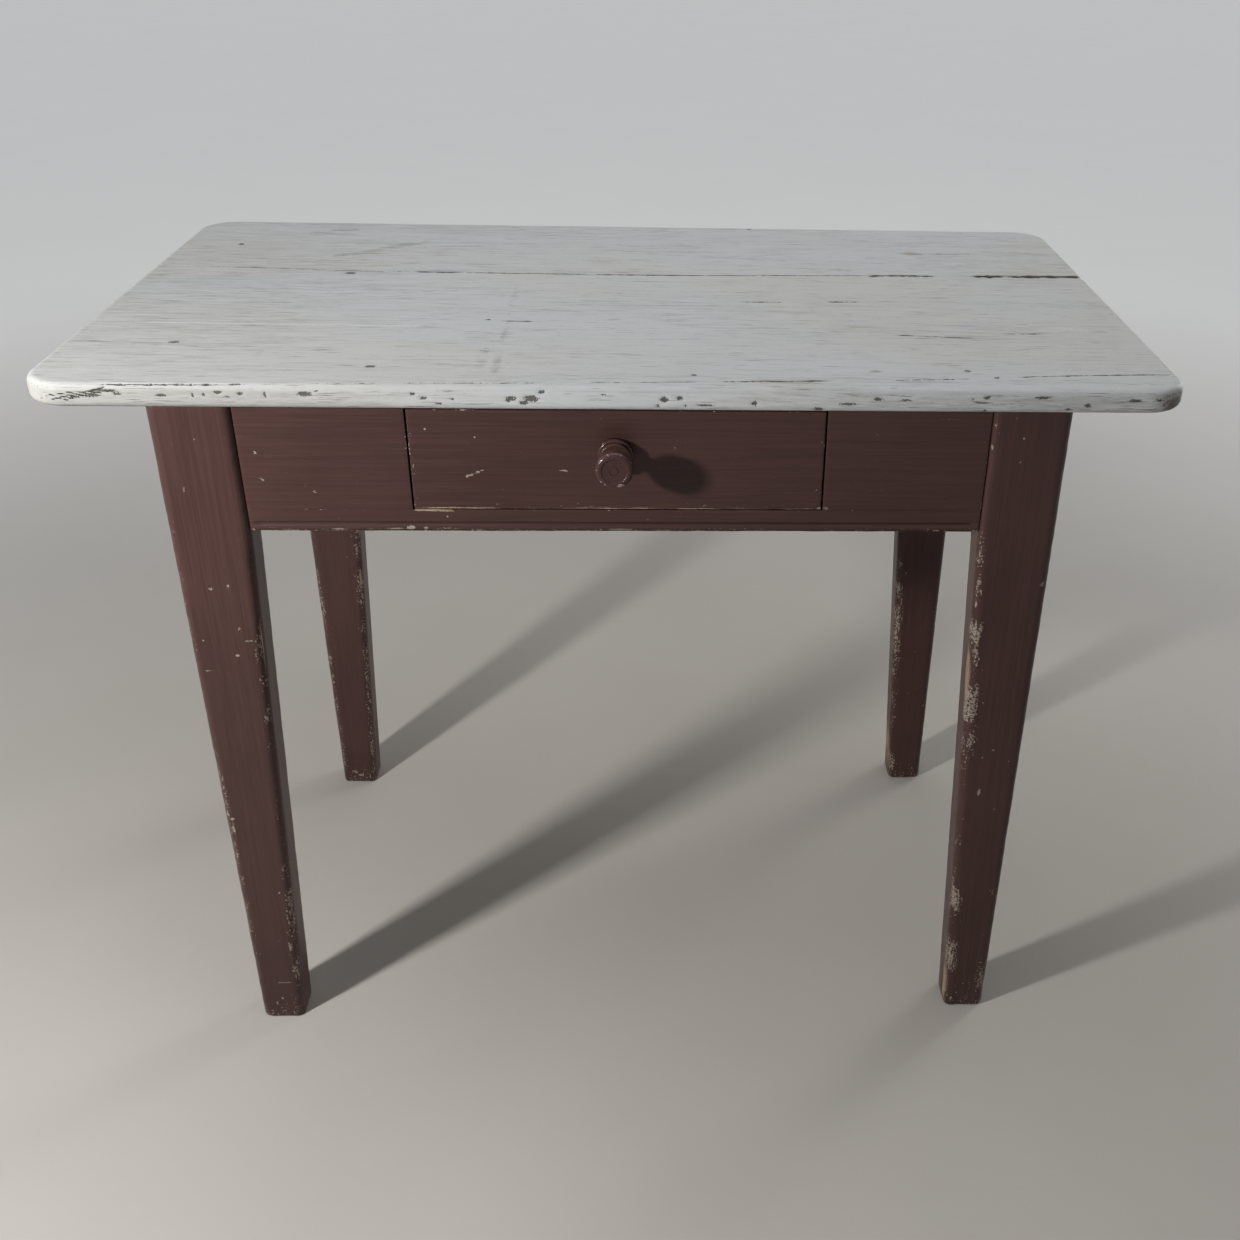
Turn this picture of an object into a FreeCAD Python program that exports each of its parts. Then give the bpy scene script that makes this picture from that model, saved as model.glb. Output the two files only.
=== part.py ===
import FreeCAD, Part
import os
import re
import Sketcher

# Driving sizes, in millimetres
SIZES = {
    # Top
    "table_height": 770,
    "top_length": 1050,
    "front_board_depth": 368,
    "back_board_depth": 217,
    "top_thickness": 22.5,
    "top_corner_radius": 40,
    "top_edge_radius": 6.5,
    "front_overhang": 5,
    "dowel_diameter": 10,
    "dowel_length": 60,
    "dowel_clearance": 0.1,
    # Legs
    "base_length": 836,
    "base_depth": 486,
    "leg_width": 75,
    "leg_depth": 42,
    "foot_width": 46,
    "leg_arris_radius": 8,
    "foot_chamfer": 2,
    # Aprons and their tenons
    "apron_height": 124,
    "apron_thickness": 24,
    "apron_recess": 4,
    "tenon_thickness": 10,
    "tenon_length": 34,
    "side_tenon_length": 28,
    "tenon_shoulder": 14,
    "mortise_clearance": 0.2,
    # Rail under the drawer
    "rail_height": 22,
    "rail_tenon_shoulder": 4,
    "rail_arris_radius": 2.5,
    "bead_height": 8,
    "bead_groove_diameter": 2.4,
    "bead_stop": 10,
    # Drawer opening and running gear
    "drawer_opening_width": 383,
    "runner_inside_width": 26,
    "runner_tenon_length": 8,
    "runner_tenon_shoulder": 6,
    "guide_width": 20,
    "guide_height": 26,
    "stop_width": 24,
    "stop_height": 26,
    "stop_clearance": 0.5,
    # Drawer
    "drawer_length": 420,
    "drawer_side_clearance": 1.3,
    "drawer_running_clearance": 0.3,
    "drawer_front_clearance": 1,
    "drawer_top_clearance": 2.5,
    "drawer_front_thickness": 20,
    "drawer_side_thickness": 12,
    "drawer_back_thickness": 12,
    "drawer_back_inset": 6,
    "drawer_back_drop": 8,
    "drawer_bottom_thickness": 6,
    "drawer_bottom_rise": 8,
    "groove_depth": 5,
    "panel_clearance": 0.3,
    "housing_depth": 4,
    "dovetail_lap": 6,
    "dovetail_root_width": 15,
    "dovetail_end_width": 21,
    "dovetail_clearance": 0.1,
    # Knob
    "knob_reach": 40,
    "knob_offset": -2.5,
    "knob_rise": 6.5,
    "knob_collar_diameter": 33,
    "knob_collar_length": 6,
    "knob_collar_round": 2,
    "knob_groove_diameter": 26,
    "knob_groove_width": 1.5,
    "knob_ring_diameter": 28.5,
    "knob_ring_length": 3.5,
    "knob_ring_round": 1.5,
    "knob_neck_diameter": 15,
    "knob_neck_round": 3,
    "knob_head_diameter": 34.5,
    "knob_head_length": 15,
    "knob_head_back_round": 6,
    "knob_head_front_round": 4,
    "knob_spigot_diameter": 14,
    "knob_spigot_clearance": 0.1,
    "wedge_thickness": 2,
    "wedge_length": 12,
    # Blocks that hold the top
    "block_length": 45,
    "block_width": 22,
    "block_height": 22,
    # Fasteners
    "screw_diameter": 4,
    "screw_head_diameter": 8,
    "screw_head_height": 2,
    "screw_grip": 14,
    "nail_diameter": 2,
    "nail_head_diameter": 4,
    "nail_head_height": 1,
    "nail_grip": 18,
    "fastener_clearance": 0.1,
    # How far a cut runs past the face it starts from
    "overrun": 1,
}

# The largest share of a wall that one rounding, or a pair of roundings, may take
ROUND_LIMIT_SHARE = 0.45
ROUND_PAIR_SHARE = 0.9

# Places and sizes that follow from the driving sizes, as formulas
PLACES = {
    "top_depth": "front_board_depth + back_board_depth",
    "knob_past_top": "knob_reach - apron_recess - front_overhang",
    "top_front": "(knob_past_top - top_depth) / 2",
    "top_seam": "top_front + front_board_depth",
    "top_back": "top_front + top_depth",
    "top_end": "top_length / 2",
    "under_top": "table_height - top_thickness",
    "leg_front": "top_front + front_overhang",
    "leg_back": "leg_front + base_depth",
    "leg_outer": "base_length / 2",
    "leg_inner": "leg_outer - leg_width",
    "side_apron_front": "leg_front + leg_depth",
    "side_apron_back": "leg_back - leg_depth",
    "apron_bottom": "under_top - apron_height",
    "apron_face": "leg_front + apron_recess",
    "front_inside": "apron_face + apron_thickness",
    "back_face": "leg_back - apron_recess",
    "back_inside": "back_face - apron_thickness",
    "side_face": "leg_outer - apron_recess",
    "side_inside": "side_face - apron_thickness",
    "tenon_inset": "(apron_thickness - tenon_thickness) / 2",
    "rail_top": "apron_bottom + rail_height",
    "opening_half": "drawer_opening_width / 2",
    "guide_outer": "opening_half + guide_width",
    "runner_inner": "opening_half - runner_inside_width",
    "drawer_half": "opening_half - drawer_side_clearance",
    "drawer_inside_half": "drawer_half - drawer_side_thickness",
    "drawer_end": "apron_face + drawer_length",
    "drawer_top": "under_top - drawer_top_clearance",
    "side_low": "rail_top + drawer_running_clearance",
    "front_low": "rail_top + drawer_front_clearance",
    "front_back": "apron_face + drawer_front_thickness",
    "tail_end": "apron_face + dovetail_lap",
    "panel_low": "side_low + drawer_bottom_rise",
    "panel_top": "panel_low + drawer_bottom_thickness",
    "groove_half": "drawer_inside_half + groove_depth",
    "drawer_back_rear": "drawer_end - drawer_back_inset",
    "drawer_back_front": "drawer_back_rear - drawer_back_thickness",
    "drawer_back_top": "drawer_top - drawer_back_drop",
    "housing_half": "drawer_inside_half + housing_depth",
    "knob_height": "(front_low + drawer_top) / 2 + knob_rise",
    "knob_ring_start": "knob_collar_length + knob_groove_width",
    "knob_neck_start": "knob_ring_start + knob_ring_length",
    "knob_head_start": "knob_reach - knob_head_length",
    "knob_step": "(knob_head_diameter - knob_neck_diameter) / 2",
    "block_low": "under_top - block_height",
    "block_half": "block_length / 2",
}

# Where fasteners, blocks and dowels sit, as shares of the piece that carries them
DOWEL_SHARES = (-0.42, -0.14, 0.14, 0.42)
SIDE_BLOCK_SHARES = {"front": 0.1, "middle": 0.5, "back": 0.9}
BACK_BLOCK_SHARE = 0.8
BLOCK_UP_SCREW_SHARE = -0.25
BLOCK_APRON_SCREW_SHARE = 0.25
GUIDE_NAIL_SHARES = (0.2, 0.75)
BACK_NAIL_SHARES = (0.3, 0.7)
BOTTOM_NAIL_SHARES = (-0.6, 0, 0.6)
# How much of the step behind the knob's head its large rounding may take
KNOB_STEP_SHARE = 0.7
DOVETAIL_COUNT = 3

SIDES = {"left": -1, "right": 1}
FULL_TURN = 360
STEEP_SHARE = 0.9
TOLERANCE = 1e-4

doc = FreeCAD.newDocument("table_with_drawer")
pieces = {}


def expand(formula, tables):
    """Put the name of its sheet before each alias in a formula."""
    def full_name(match):
        word = match.group()
        for sheet_name, table in tables.items():
            if word in table:
                return "%s.%s" % (sheet_name, word)
        return word
    return re.sub(r"[a-z_]+", full_name, formula)


def fill_sheet(sheet_name, cells):
    sheet = doc.addObject("Spreadsheet::Sheet", sheet_name)
    for row, (alias, content) in enumerate(cells.items(), start=1):
        sheet.set("A%d" % row, alias)
        sheet.set("B%d" % row, content)
        sheet.setAlias("B%d" % row, alias)
    return sheet


fill_sheet("sizes", {alias: str(value) for alias, value in SIZES.items()})
places = fill_sheet(
    "places", {alias: "=" + expand(formula, {"sizes": SIZES}) for alias, formula in PLACES.items()})
doc.recompute()


def bound(formula):
    return expand(formula, {"sizes": SIZES, "places": PLACES})


def value(formula):
    return float(places.evalExpression(expand(formula, {"sizes": SIZES})))


def bind(feature, prop, formula):
    feature.setExpression(prop, bound(formula))


def new_piece(name):
    body = doc.addObject("PartDesign::Body", name)
    body.Label = name
    pieces[name] = body
    return body


def negative(formula):
    return "-(%s)" % formula


def mirrored_span(side, inner, outer):
    """A span along X on the left or right, from two distances off the middle."""
    if side < 0:
        return negative(outer), negative(inner)
    return inner, outer


def block(body, kind, low, high):
    """A straight block between two corners; kind is Additive or Subtractive."""
    feature = body.newObject("PartDesign::%sBox" % kind, "block")
    for size, axis, start, end in zip(("Length", "Width", "Height"), "xyz", low, high):
        bind(feature, size, "(%s) - (%s)" % (end, start))
        bind(feature, "Placement.Base." + axis, start)


def drill(body, start, direction, length, diameter):
    """A round hole from a point along a row axis."""
    hole = body.newObject("PartDesign::SubtractiveCylinder", "hole")
    set_round(hole, start, direction, length, diameter)


def set_round(cylinder, start, direction, length, diameter):
    turn = FreeCAD.Rotation(FreeCAD.Vector(0, 0, 1), FreeCAD.Vector(*direction))
    cylinder.Placement = FreeCAD.Placement(FreeCAD.Vector(0, 0, 0), turn)
    bind(cylinder, "Radius", "(%s) / 2" % diameter)
    bind(cylinder, "Height", length)
    for axis, place in zip("xyz", start):
        bind(cylinder, "Placement.Base." + axis, place)


def shifted(point, direction, distance):
    """A point moved along a direction by a formula."""
    return tuple("%s + %d * (%s)" % (place, step, distance) for place, step in zip(point, direction))


def outline_sketch(body, plane_role, outlines, offset="0"):
    """Closed straight outlines on an origin plane, each corner held by two formulas."""
    sketch = body.newObject("Sketcher::SketchObject", "outline")
    plane = [item for item in body.Origin.OriginFeatures if item.Role == plane_role][0]
    sketch.AttachmentSupport = (plane, "")
    sketch.MapMode = "FlatFace"
    bind(sketch, "AttachmentOffset.Base.z", offset)
    for corners in outlines:
        first = sketch.GeometryCount
        points = [FreeCAD.Vector(value(across), value(up), 0) for across, up in corners]
        for start, end in zip(points, points[1:] + points[:1]):
            sketch.addGeometry(Part.LineSegment(start, end), False)
        for step, (across, up) in enumerate(corners):
            line = first + step
            following = first + (step + 1) % len(corners)
            sketch.addConstraint(Sketcher.Constraint("Coincident", line, 2, following, 1))
            for kind, formula in (("DistanceX", across), ("DistanceY", up)):
                place = sketch.addConstraint(Sketcher.Constraint(kind, -1, 1, line, 1, value(formula)))
                bind(sketch, "Constraints[%d]" % place, formula)
    return sketch


def pad(body, sketch, length, reverse=False):
    feature = body.newObject("PartDesign::Pad", "pad")
    feature.Profile = sketch
    feature.Reversed = reverse
    bind(feature, "Length", length)


def pocket(body, sketch, length, reverse=False):
    doc.recompute()
    before = body.Shape.Volume
    feature = body.newObject("PartDesign::Pocket", "pocket")
    feature.Profile = sketch
    feature.Reversed = reverse
    bind(feature, "Length", length)
    doc.recompute()
    if body.Shape.Volume > before - TOLERANCE:
        raise RuntimeError("a pocket in %s cuts nothing" % body.Label)


def dress_edges(body, kind, prop, size, wanted):
    """A Fillet or Chamfer on each edge of the piece that the test accepts."""
    doc.recompute()
    base = body.Tip
    names = ["Edge%d" % number for number, edge in enumerate(base.Shape.Edges, start=1) if wanted(edge)]
    if not names:
        raise RuntimeError("no edge of %s to dress" % body.Label)
    feature = body.newObject("PartDesign::" + kind, kind.lower())
    feature.Base = (base, names)
    bind(feature, prop, size)
    doc.recompute()
    if "Invalid" in feature.State or feature.Shape.isNull():
        raise RuntimeError("%s of %s failed" % (kind, body.Label))


def round_edges(body, radius, wanted):
    dress_edges(body, "Fillet", "Radius", radius, wanted)


def near(first, second):
    return abs(first - second) < TOLERANCE


def is_steep(edge):
    return abs(edge.tangentAt(edge.FirstParameter).z) > STEEP_SHARE


def lies_at(edge, axis, formula):
    """True where the whole edge lies in one plane across the named axis."""
    box = edge.BoundBox
    place = value(formula)
    return near(getattr(box, axis + "Min"), place) and near(getattr(box, axis + "Max"), place)


# Fasteners

def fasten(group, kind, head, direction, grip, bodies):
    """A nail or screw with a flush head, and its hole in each piece that it passes."""
    shaft_length = "%s + %s_grip" % (grip, kind)
    rounds = (("%s_diameter" % kind, shaft_length), ("%s_head_diameter" % kind, "%s_head_height" % kind))
    for diameter, length in rounds:
        solid = doc.addObject("Part::Cylinder", "fastener")
        set_round(solid, head, direction, length, diameter)
        group.append(solid)
    outside = shifted(head, direction, "-overrun")
    for body in bodies:
        drill(body, outside, direction, "%s + overrun + fastener_clearance" % shaft_length,
              "%s_diameter + 2 * fastener_clearance" % kind)
    drill(bodies[0], outside, direction, "%s_head_height + overrun" % kind,
          "%s_head_diameter + 2 * fastener_clearance" % kind)


def join_group(name, solids):
    group = doc.addObject("Part::MultiFuse", name)
    group.Label = name
    group.Shapes = solids
    pieces[name] = group


# Top

def make_top_board(name, low_y, high_y, outer_y):
    body = new_piece(name)
    block(body, "Additive", (negative("top_end"), low_y, "under_top"), ("top_end", high_y, "table_height"))
    round_edges(body, "top_corner_radius", lambda edge: is_steep(edge) and lies_at(edge, "Y", outer_y))
    round_edges(body, "min(top_edge_radius; top_thickness * %g)" % ROUND_LIMIT_SHARE,
                lambda edge: edge.BoundBox.ZLength < TOLERANCE and not lies_at(edge, "Y", "top_seam"))
    for share in DOWEL_SHARES:
        start = ("top_length * %g" % share, "top_seam", "table_height - top_thickness / 2")
        direction = (0, -1, 0) if outer_y == "top_front" else (0, 1, 0)
        drill(body, shifted(start, direction, "-overrun"), direction,
              "dowel_length / 2 + overrun + dowel_clearance", "dowel_diameter + 2 * dowel_clearance")
    return body


def make_dowels():
    dowels = []
    for share in DOWEL_SHARES:
        dowel = doc.addObject("Part::Cylinder", "dowel")
        start = ("top_length * %g" % share, "top_seam - dowel_length / 2",
                 "table_height - top_thickness / 2")
        set_round(dowel, start, (0, 1, 0), "dowel_length", "dowel_diameter")
        dowels.append(dowel)
    join_group("top_dowels", dowels)


# Frame

def long_tenon_heights(front):
    """Heights of the tenons that the long aprons put into a leg."""
    if not front:
        return [("apron_bottom + tenon_shoulder", "under_top - tenon_shoulder")]
    return [("apron_bottom + rail_tenon_shoulder", "rail_top - rail_tenon_shoulder"),
            ("rail_top + tenon_shoulder", "under_top - tenon_shoulder")]


def long_tenon_depths(front):
    """Places along Y of the cheeks of the long aprons' tenons."""
    start = "apron_face + tenon_inset" if front else "back_inside + tenon_inset"
    return start, start + " + tenon_thickness"


def widened(span):
    return span[0] + " - mortise_clearance", span[1] + " + mortise_clearance"


def make_leg(name, side, front):
    body = new_piece(name)
    face = "leg_front" if front else "leg_back - leg_depth"
    profile = [("leg_outer", "0"), ("leg_outer", "under_top"), ("leg_inner", "under_top"),
               ("leg_inner", "apron_bottom"), ("leg_outer - foot_width", "0")]
    corners = [("%d * (%s)" % (side, across), up) for across, up in profile]
    pad(body, outline_sketch(body, "XZ_Plane", [corners], negative(face)), "leg_depth", reverse=True)
    round_edges(body, "leg_arris_radius", is_steep)
    dress_edges(body, "Chamfer", "Size", "foot_chamfer", lambda edge: lies_at(edge, "Z", "0"))
    cheeks = widened(long_tenon_depths(front))
    reach = mirrored_span(side, "leg_inner - overrun", "leg_inner + tenon_length + mortise_clearance")
    for heights in long_tenon_heights(front):
        low_z, high_z = widened(heights)
        block(body, "Subtractive", (reach[0], cheeks[0], low_z), (reach[1], cheeks[1], high_z))
    across = mirrored_span(side, "side_inside + tenon_inset - mortise_clearance",
                           "side_face - tenon_inset + mortise_clearance")
    if front:
        depths = "side_apron_front - side_tenon_length - mortise_clearance", "side_apron_front + overrun"
    else:
        depths = "side_apron_back - overrun", "side_apron_back + side_tenon_length + mortise_clearance"
    low_z, high_z = widened(("apron_bottom + tenon_shoulder", "under_top - tenon_shoulder"))
    block(body, "Subtractive", (across[0], depths[0], low_z), (across[1], depths[1], high_z))


def make_side_apron(name, side):
    body = new_piece(name)
    low_x, high_x = mirrored_span(side, "side_inside", "side_face")
    block(body, "Additive", (low_x, "side_apron_front", "apron_bottom"),
          (high_x, "side_apron_back", "under_top"))
    low_x, high_x = mirrored_span(side, "side_inside + tenon_inset", "side_face - tenon_inset")
    block(body, "Additive",
          (low_x, "side_apron_front - side_tenon_length", "apron_bottom + tenon_shoulder"),
          (high_x, "side_apron_back + side_tenon_length", "under_top - tenon_shoulder"))
    return body


def make_back_apron():
    body = new_piece("apron_back")
    block(body, "Additive", (negative("leg_inner"), "back_inside", "apron_bottom"),
          ("leg_inner", "back_face", "under_top"))
    reach = "leg_inner + tenon_length"
    cheeks = long_tenon_depths(False)
    low_z, high_z = long_tenon_heights(False)[0]
    block(body, "Additive", (negative(reach), cheeks[0], low_z), (reach, cheeks[1], high_z))
    cut_runner_mortises(body, "back_inside - overrun",
                        "back_inside + runner_tenon_length + mortise_clearance")
    return body


def make_drawer_rail():
    body = new_piece("drawer_rail")
    block(body, "Additive", (negative("leg_inner"), "apron_face", "apron_bottom"),
          ("leg_inner", "front_inside", "rail_top"))
    round_edges(body, "rail_arris_radius",
                lambda edge: lies_at(edge, "Y", "apron_face") and lies_at(edge, "Z", "apron_bottom"))
    bead_start = (negative("leg_inner - bead_stop"), "apron_face", "apron_bottom + bead_height")
    drill(body, bead_start, (1, 0, 0), "2 * (leg_inner - bead_stop)", "bead_groove_diameter")
    reach = "leg_inner + tenon_length"
    cheeks = long_tenon_depths(True)
    low_z, high_z = long_tenon_heights(True)[0]
    block(body, "Additive", (negative(reach), cheeks[0], low_z), (reach, cheeks[1], high_z))
    cut_runner_mortises(body, "front_inside - runner_tenon_length - mortise_clearance",
                        "front_inside + overrun")


def make_front_apron(name, side):
    body = new_piece(name)
    low_x, high_x = mirrored_span(side, "opening_half", "leg_inner")
    block(body, "Additive", (low_x, "apron_face", "rail_top"), (high_x, "front_inside", "under_top"))
    low_x, high_x = mirrored_span(side, "leg_inner", "leg_inner + tenon_length")
    cheeks = long_tenon_depths(True)
    low_z, high_z = long_tenon_heights(True)[1]
    block(body, "Additive", (low_x, cheeks[0], low_z), (high_x, cheeks[1], high_z))


# Running gear

RUNNER_TENON_HEIGHTS = ("apron_bottom + runner_tenon_shoulder", "rail_top - runner_tenon_shoulder")
RUNNER_TENON_WIDTHS = ("runner_inner + runner_tenon_shoulder", "guide_outer - runner_tenon_shoulder")


def cut_runner_mortises(body, low_y, high_y):
    low_z, high_z = widened(RUNNER_TENON_HEIGHTS)
    near_x, far_x = widened(RUNNER_TENON_WIDTHS)
    for side in SIDES.values():
        low_x, high_x = mirrored_span(side, near_x, far_x)
        block(body, "Subtractive", (low_x, low_y, low_z), (high_x, high_y, high_z))


def make_runner(name, side):
    body = new_piece(name)
    low_x, high_x = mirrored_span(side, "runner_inner", "guide_outer")
    block(body, "Additive", (low_x, "front_inside", "apron_bottom"), (high_x, "back_inside", "rail_top"))
    low_x, high_x = mirrored_span(side, *RUNNER_TENON_WIDTHS)
    low_z, high_z = RUNNER_TENON_HEIGHTS
    block(body, "Additive", (low_x, "front_inside - runner_tenon_length", low_z),
          (high_x, "back_inside + runner_tenon_length", high_z))
    return body


def make_guide(name, side):
    body = new_piece(name)
    low_x, high_x = mirrored_span(side, "opening_half", "guide_outer")
    block(body, "Additive", (low_x, "front_inside", "rail_top"),
          (high_x, "back_inside", "rail_top + guide_height"))
    return body


def make_stop(name, side):
    body = new_piece(name)
    low_x, high_x = mirrored_span(side, "opening_half - stop_width", "opening_half")
    block(body, "Additive", (low_x, "drawer_end + stop_clearance", "rail_top"),
          (high_x, "back_inside", "rail_top + stop_height"))
    return body


def make_running_gear():
    nails = []
    for word, side in SIDES.items():
        runner = make_runner("drawer_runner_" + word, side)
        guide = make_guide("drawer_guide_" + word, side)
        stop = make_stop("drawer_stop_" + word, side)
        for share in GUIDE_NAIL_SHARES:
            head = ("%d * (opening_half + guide_width / 2)" % side,
                    "front_inside + (back_inside - front_inside) * %g" % share, "rail_top + guide_height")
            fasten(nails, "nail", head, (0, 0, -1), "guide_height", [guide, runner])
        head = ("%d * (opening_half - stop_width / 2)" % side,
                "(drawer_end + stop_clearance + back_inside) / 2", "rail_top + stop_height")
        fasten(nails, "nail", head, (0, 0, -1), "stop_height", [stop, runner])
    join_group("guide_nails", nails)


# Blocks under the top

def add_block(name, low, high, screws, screw_group):
    body = new_piece(name)
    block(body, "Additive", low, high)
    for head, direction, grip, held in screws:
        fasten(screw_group, "screw", head, direction, grip, [body, held])


def make_blocks(boards, side_aprons, back_apron):
    screws = []
    block_middle = "block_low + block_height / 2"
    for word, side in SIDES.items():
        low_x, high_x = mirrored_span(side, "side_inside - block_width", "side_inside")
        for place, share in SIDE_BLOCK_SHARES.items():
            run = "(side_apron_back - side_apron_front - block_length)"
            middle = "side_apron_front + block_half + %s * %g" % (run, share)
            board = boards["back" if place == "back" else "front"]
            up = (("%d * (side_inside - block_width / 2)" % side,
                   "%s + block_length * %g" % (middle, BLOCK_UP_SCREW_SHARE), "block_low"),
                  (0, 0, 1), "block_height", board)
            out = (("%d * (side_inside - block_width)" % side,
                    "%s + block_length * %g" % (middle, BLOCK_APRON_SCREW_SHARE), block_middle),
                   (side, 0, 0), "block_width", side_aprons[word])
            add_block("fixing_block_%s_%s" % (word, place), (low_x, middle + " - block_half", "block_low"),
                      (high_x, middle + " + block_half", "under_top"), [up, out], screws)
        middle = "%d * leg_inner * %g" % (side, BACK_BLOCK_SHARE)
        up = (("%s + block_length * %g" % (middle, BLOCK_UP_SCREW_SHARE), "back_inside - block_width / 2",
               "block_low"), (0, 0, 1), "block_height", boards["back"])
        out = (("%s + block_length * %g" % (middle, BLOCK_APRON_SCREW_SHARE), "back_inside - block_width",
                block_middle), (0, 1, 0), "block_width", back_apron)
        low = (middle + " - block_half", "back_inside - block_width", "block_low")
        high = (middle + " + block_half", "back_inside", "under_top")
        add_block("fixing_block_back_" + word, low, high, [up, out], screws)
    join_group("block_screws", screws)


# Drawer

def tail_middles():
    """Heights of the middles of the dovetails."""
    for number in range(DOVETAIL_COUNT):
        share = (2 * number + 1) / (2 * DOVETAIL_COUNT)
        yield "side_low + (drawer_top - side_low) * %g" % share


def make_drawer_front():
    body = new_piece("drawer_front")
    block(body, "Additive", (negative("drawer_half"), "apron_face", "front_low"),
          ("drawer_half", "front_back", "drawer_top"))
    root = "(dovetail_root_width / 2 + dovetail_clearance)"
    end = "(dovetail_end_width / 2 + dovetail_clearance)"
    sockets = []
    for middle in tail_middles():
        low_root, high_root = "%s - %s" % (middle, root), "%s + %s" % (middle, root)
        low_end, high_end = "%s - %s" % (middle, end), "%s + %s" % (middle, end)
        socket_end = "tail_end - dovetail_clearance"
        sockets.append([("front_back + overrun", low_root), ("front_back", low_root),
                        (socket_end, low_end), (socket_end, high_end),
                        ("front_back", high_root), ("front_back + overrun", high_root)])
    for side in SIDES.values():
        sketch = outline_sketch(body, "YZ_Plane", sockets, "%d * drawer_half" % side)
        pocket(body, sketch, "drawer_side_thickness + dovetail_clearance", reverse=side < 0)
    groove_end = "groove_half + panel_clearance"
    block(body, "Subtractive", (negative(groove_end), "front_back - groove_depth", "panel_low"),
          (groove_end, "front_back + overrun", "panel_top + panel_clearance"))
    drill(body, ("knob_offset", "apron_face - overrun", "knob_height"), (0, 1, 0),
          "drawer_front_thickness + 2 * overrun", "knob_spigot_diameter + 2 * knob_spigot_clearance")


def make_drawer_side(name, side):
    body = new_piece(name)
    corners = [("drawer_end", "side_low"), ("front_back", "side_low")]
    for middle in tail_middles():
        corners += [("front_back", middle + " - dovetail_root_width / 2"),
                    ("tail_end", middle + " - dovetail_end_width / 2"),
                    ("tail_end", middle + " + dovetail_end_width / 2"),
                    ("front_back", middle + " + dovetail_root_width / 2")]
    corners += [("front_back", "drawer_top"), ("drawer_end", "drawer_top")]
    low_x, high_x = mirrored_span(side, "drawer_inside_half", "drawer_half")
    pad(body, outline_sketch(body, "YZ_Plane", [corners], low_x), "drawer_side_thickness")
    low_x, high_x = mirrored_span(side, "drawer_inside_half - overrun", "groove_half")
    block(body, "Subtractive", (low_x, "tail_end - overrun", "panel_low"),
          (high_x, "drawer_end + overrun", "panel_top + panel_clearance"))
    low_x, high_x = mirrored_span(side, "drawer_inside_half - overrun", "housing_half")
    block(body, "Subtractive", (low_x, "drawer_back_front - mortise_clearance", "panel_top"),
          (high_x, "drawer_back_rear + mortise_clearance", "drawer_top + overrun"))
    return body


def make_drawer_back():
    body = new_piece("drawer_back")
    half = "housing_half - panel_clearance"
    block(body, "Additive", (negative(half), "drawer_back_front", "panel_top"),
          (half, "drawer_back_rear", "drawer_back_top"))
    return body


def make_drawer_bottom():
    body = new_piece("drawer_bottom")
    half = "groove_half - panel_clearance"
    block(body, "Additive", (negative(half), "front_back - groove_depth + panel_clearance", "panel_low"),
          (half, "drawer_back_rear", "panel_top"))
    return body


def make_knob():
    body = new_piece("knob")
    radii = {name: "knob_%s_diameter / 2" % name
             for name in ("spigot", "collar", "groove", "ring", "neck", "head")}
    spigot_end = "drawer_front_thickness"
    steps = [("0", spigot_end), (radii["spigot"], spigot_end), (radii["spigot"], "0"),
             (radii["collar"], "0"), (radii["collar"], "-knob_collar_length"),
             (radii["groove"], "-knob_collar_length"), (radii["groove"], "-knob_ring_start"),
             (radii["ring"], "-knob_ring_start"), (radii["ring"], "-knob_neck_start"),
             (radii["neck"], "-knob_neck_start"), (radii["neck"], "-knob_head_start"),
             (radii["head"], "-knob_head_start"), (radii["head"], "-knob_reach"), ("0", "-knob_reach")]
    sketch = outline_sketch(body, "XY_Plane", [steps])
    turned = body.newObject("PartDesign::Revolution", "turned")
    turned.Profile = sketch
    turned.ReferenceAxis = (sketch, ["V_Axis"])
    turned.Angle = FULL_TURN

    def ring_at(name, place):
        return lambda edge: (lies_at(edge, "Y", place)
                             and near(edge.BoundBox.XMax, value(radii[name])))

    neck_room = "(knob_head_start - knob_neck_start) * %g" % ROUND_LIMIT_SHARE
    head_room = "(knob_head_length - knob_head_front_round) * %g" % ROUND_PAIR_SHARE
    back_round = "min(knob_head_back_round; %s; knob_step * %g)" % (head_room, KNOB_STEP_SHARE)
    step_room = "(knob_step - %s) * %g" % (back_round, ROUND_PAIR_SHARE)
    ring_round = "min(knob_ring_round; knob_ring_length * %g)" % ROUND_LIMIT_SHARE
    groove_room = "(knob_%s_diameter - knob_groove_diameter) / 2 * {:g}".format(ROUND_PAIR_SHARE)
    rounds = [("head", "-knob_head_start", back_round),
              ("head", "-knob_reach", "knob_head_front_round"),
              ("neck", "-knob_head_start", "min(knob_neck_round; %s; %s)" % (neck_room, step_room)),
              ("neck", "-knob_neck_start", "min(knob_neck_round; %s)" % neck_room),
              ("ring", "-knob_ring_start", "min(%s; %s)" % (ring_round, groove_room % "ring")),
              ("ring", "-knob_neck_start", ring_round),
              ("collar", "-knob_collar_length", "min(knob_collar_round; %s)" % (groove_room % "collar"))]
    for name, place, radius in rounds:
        round_edges(body, radius, ring_at(name, place))
    block(body, "Subtractive", ("-(knob_spigot_diameter / 2 + overrun)",
                                "drawer_front_thickness - wedge_length", "-wedge_thickness / 2"),
          ("knob_spigot_diameter / 2 + overrun", "drawer_front_thickness + overrun", "wedge_thickness / 2"))
    for axis, place in zip("xyz", ("knob_offset", "apron_face", "knob_height")):
        bind(body, "Placement.Base." + axis, place)


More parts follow.
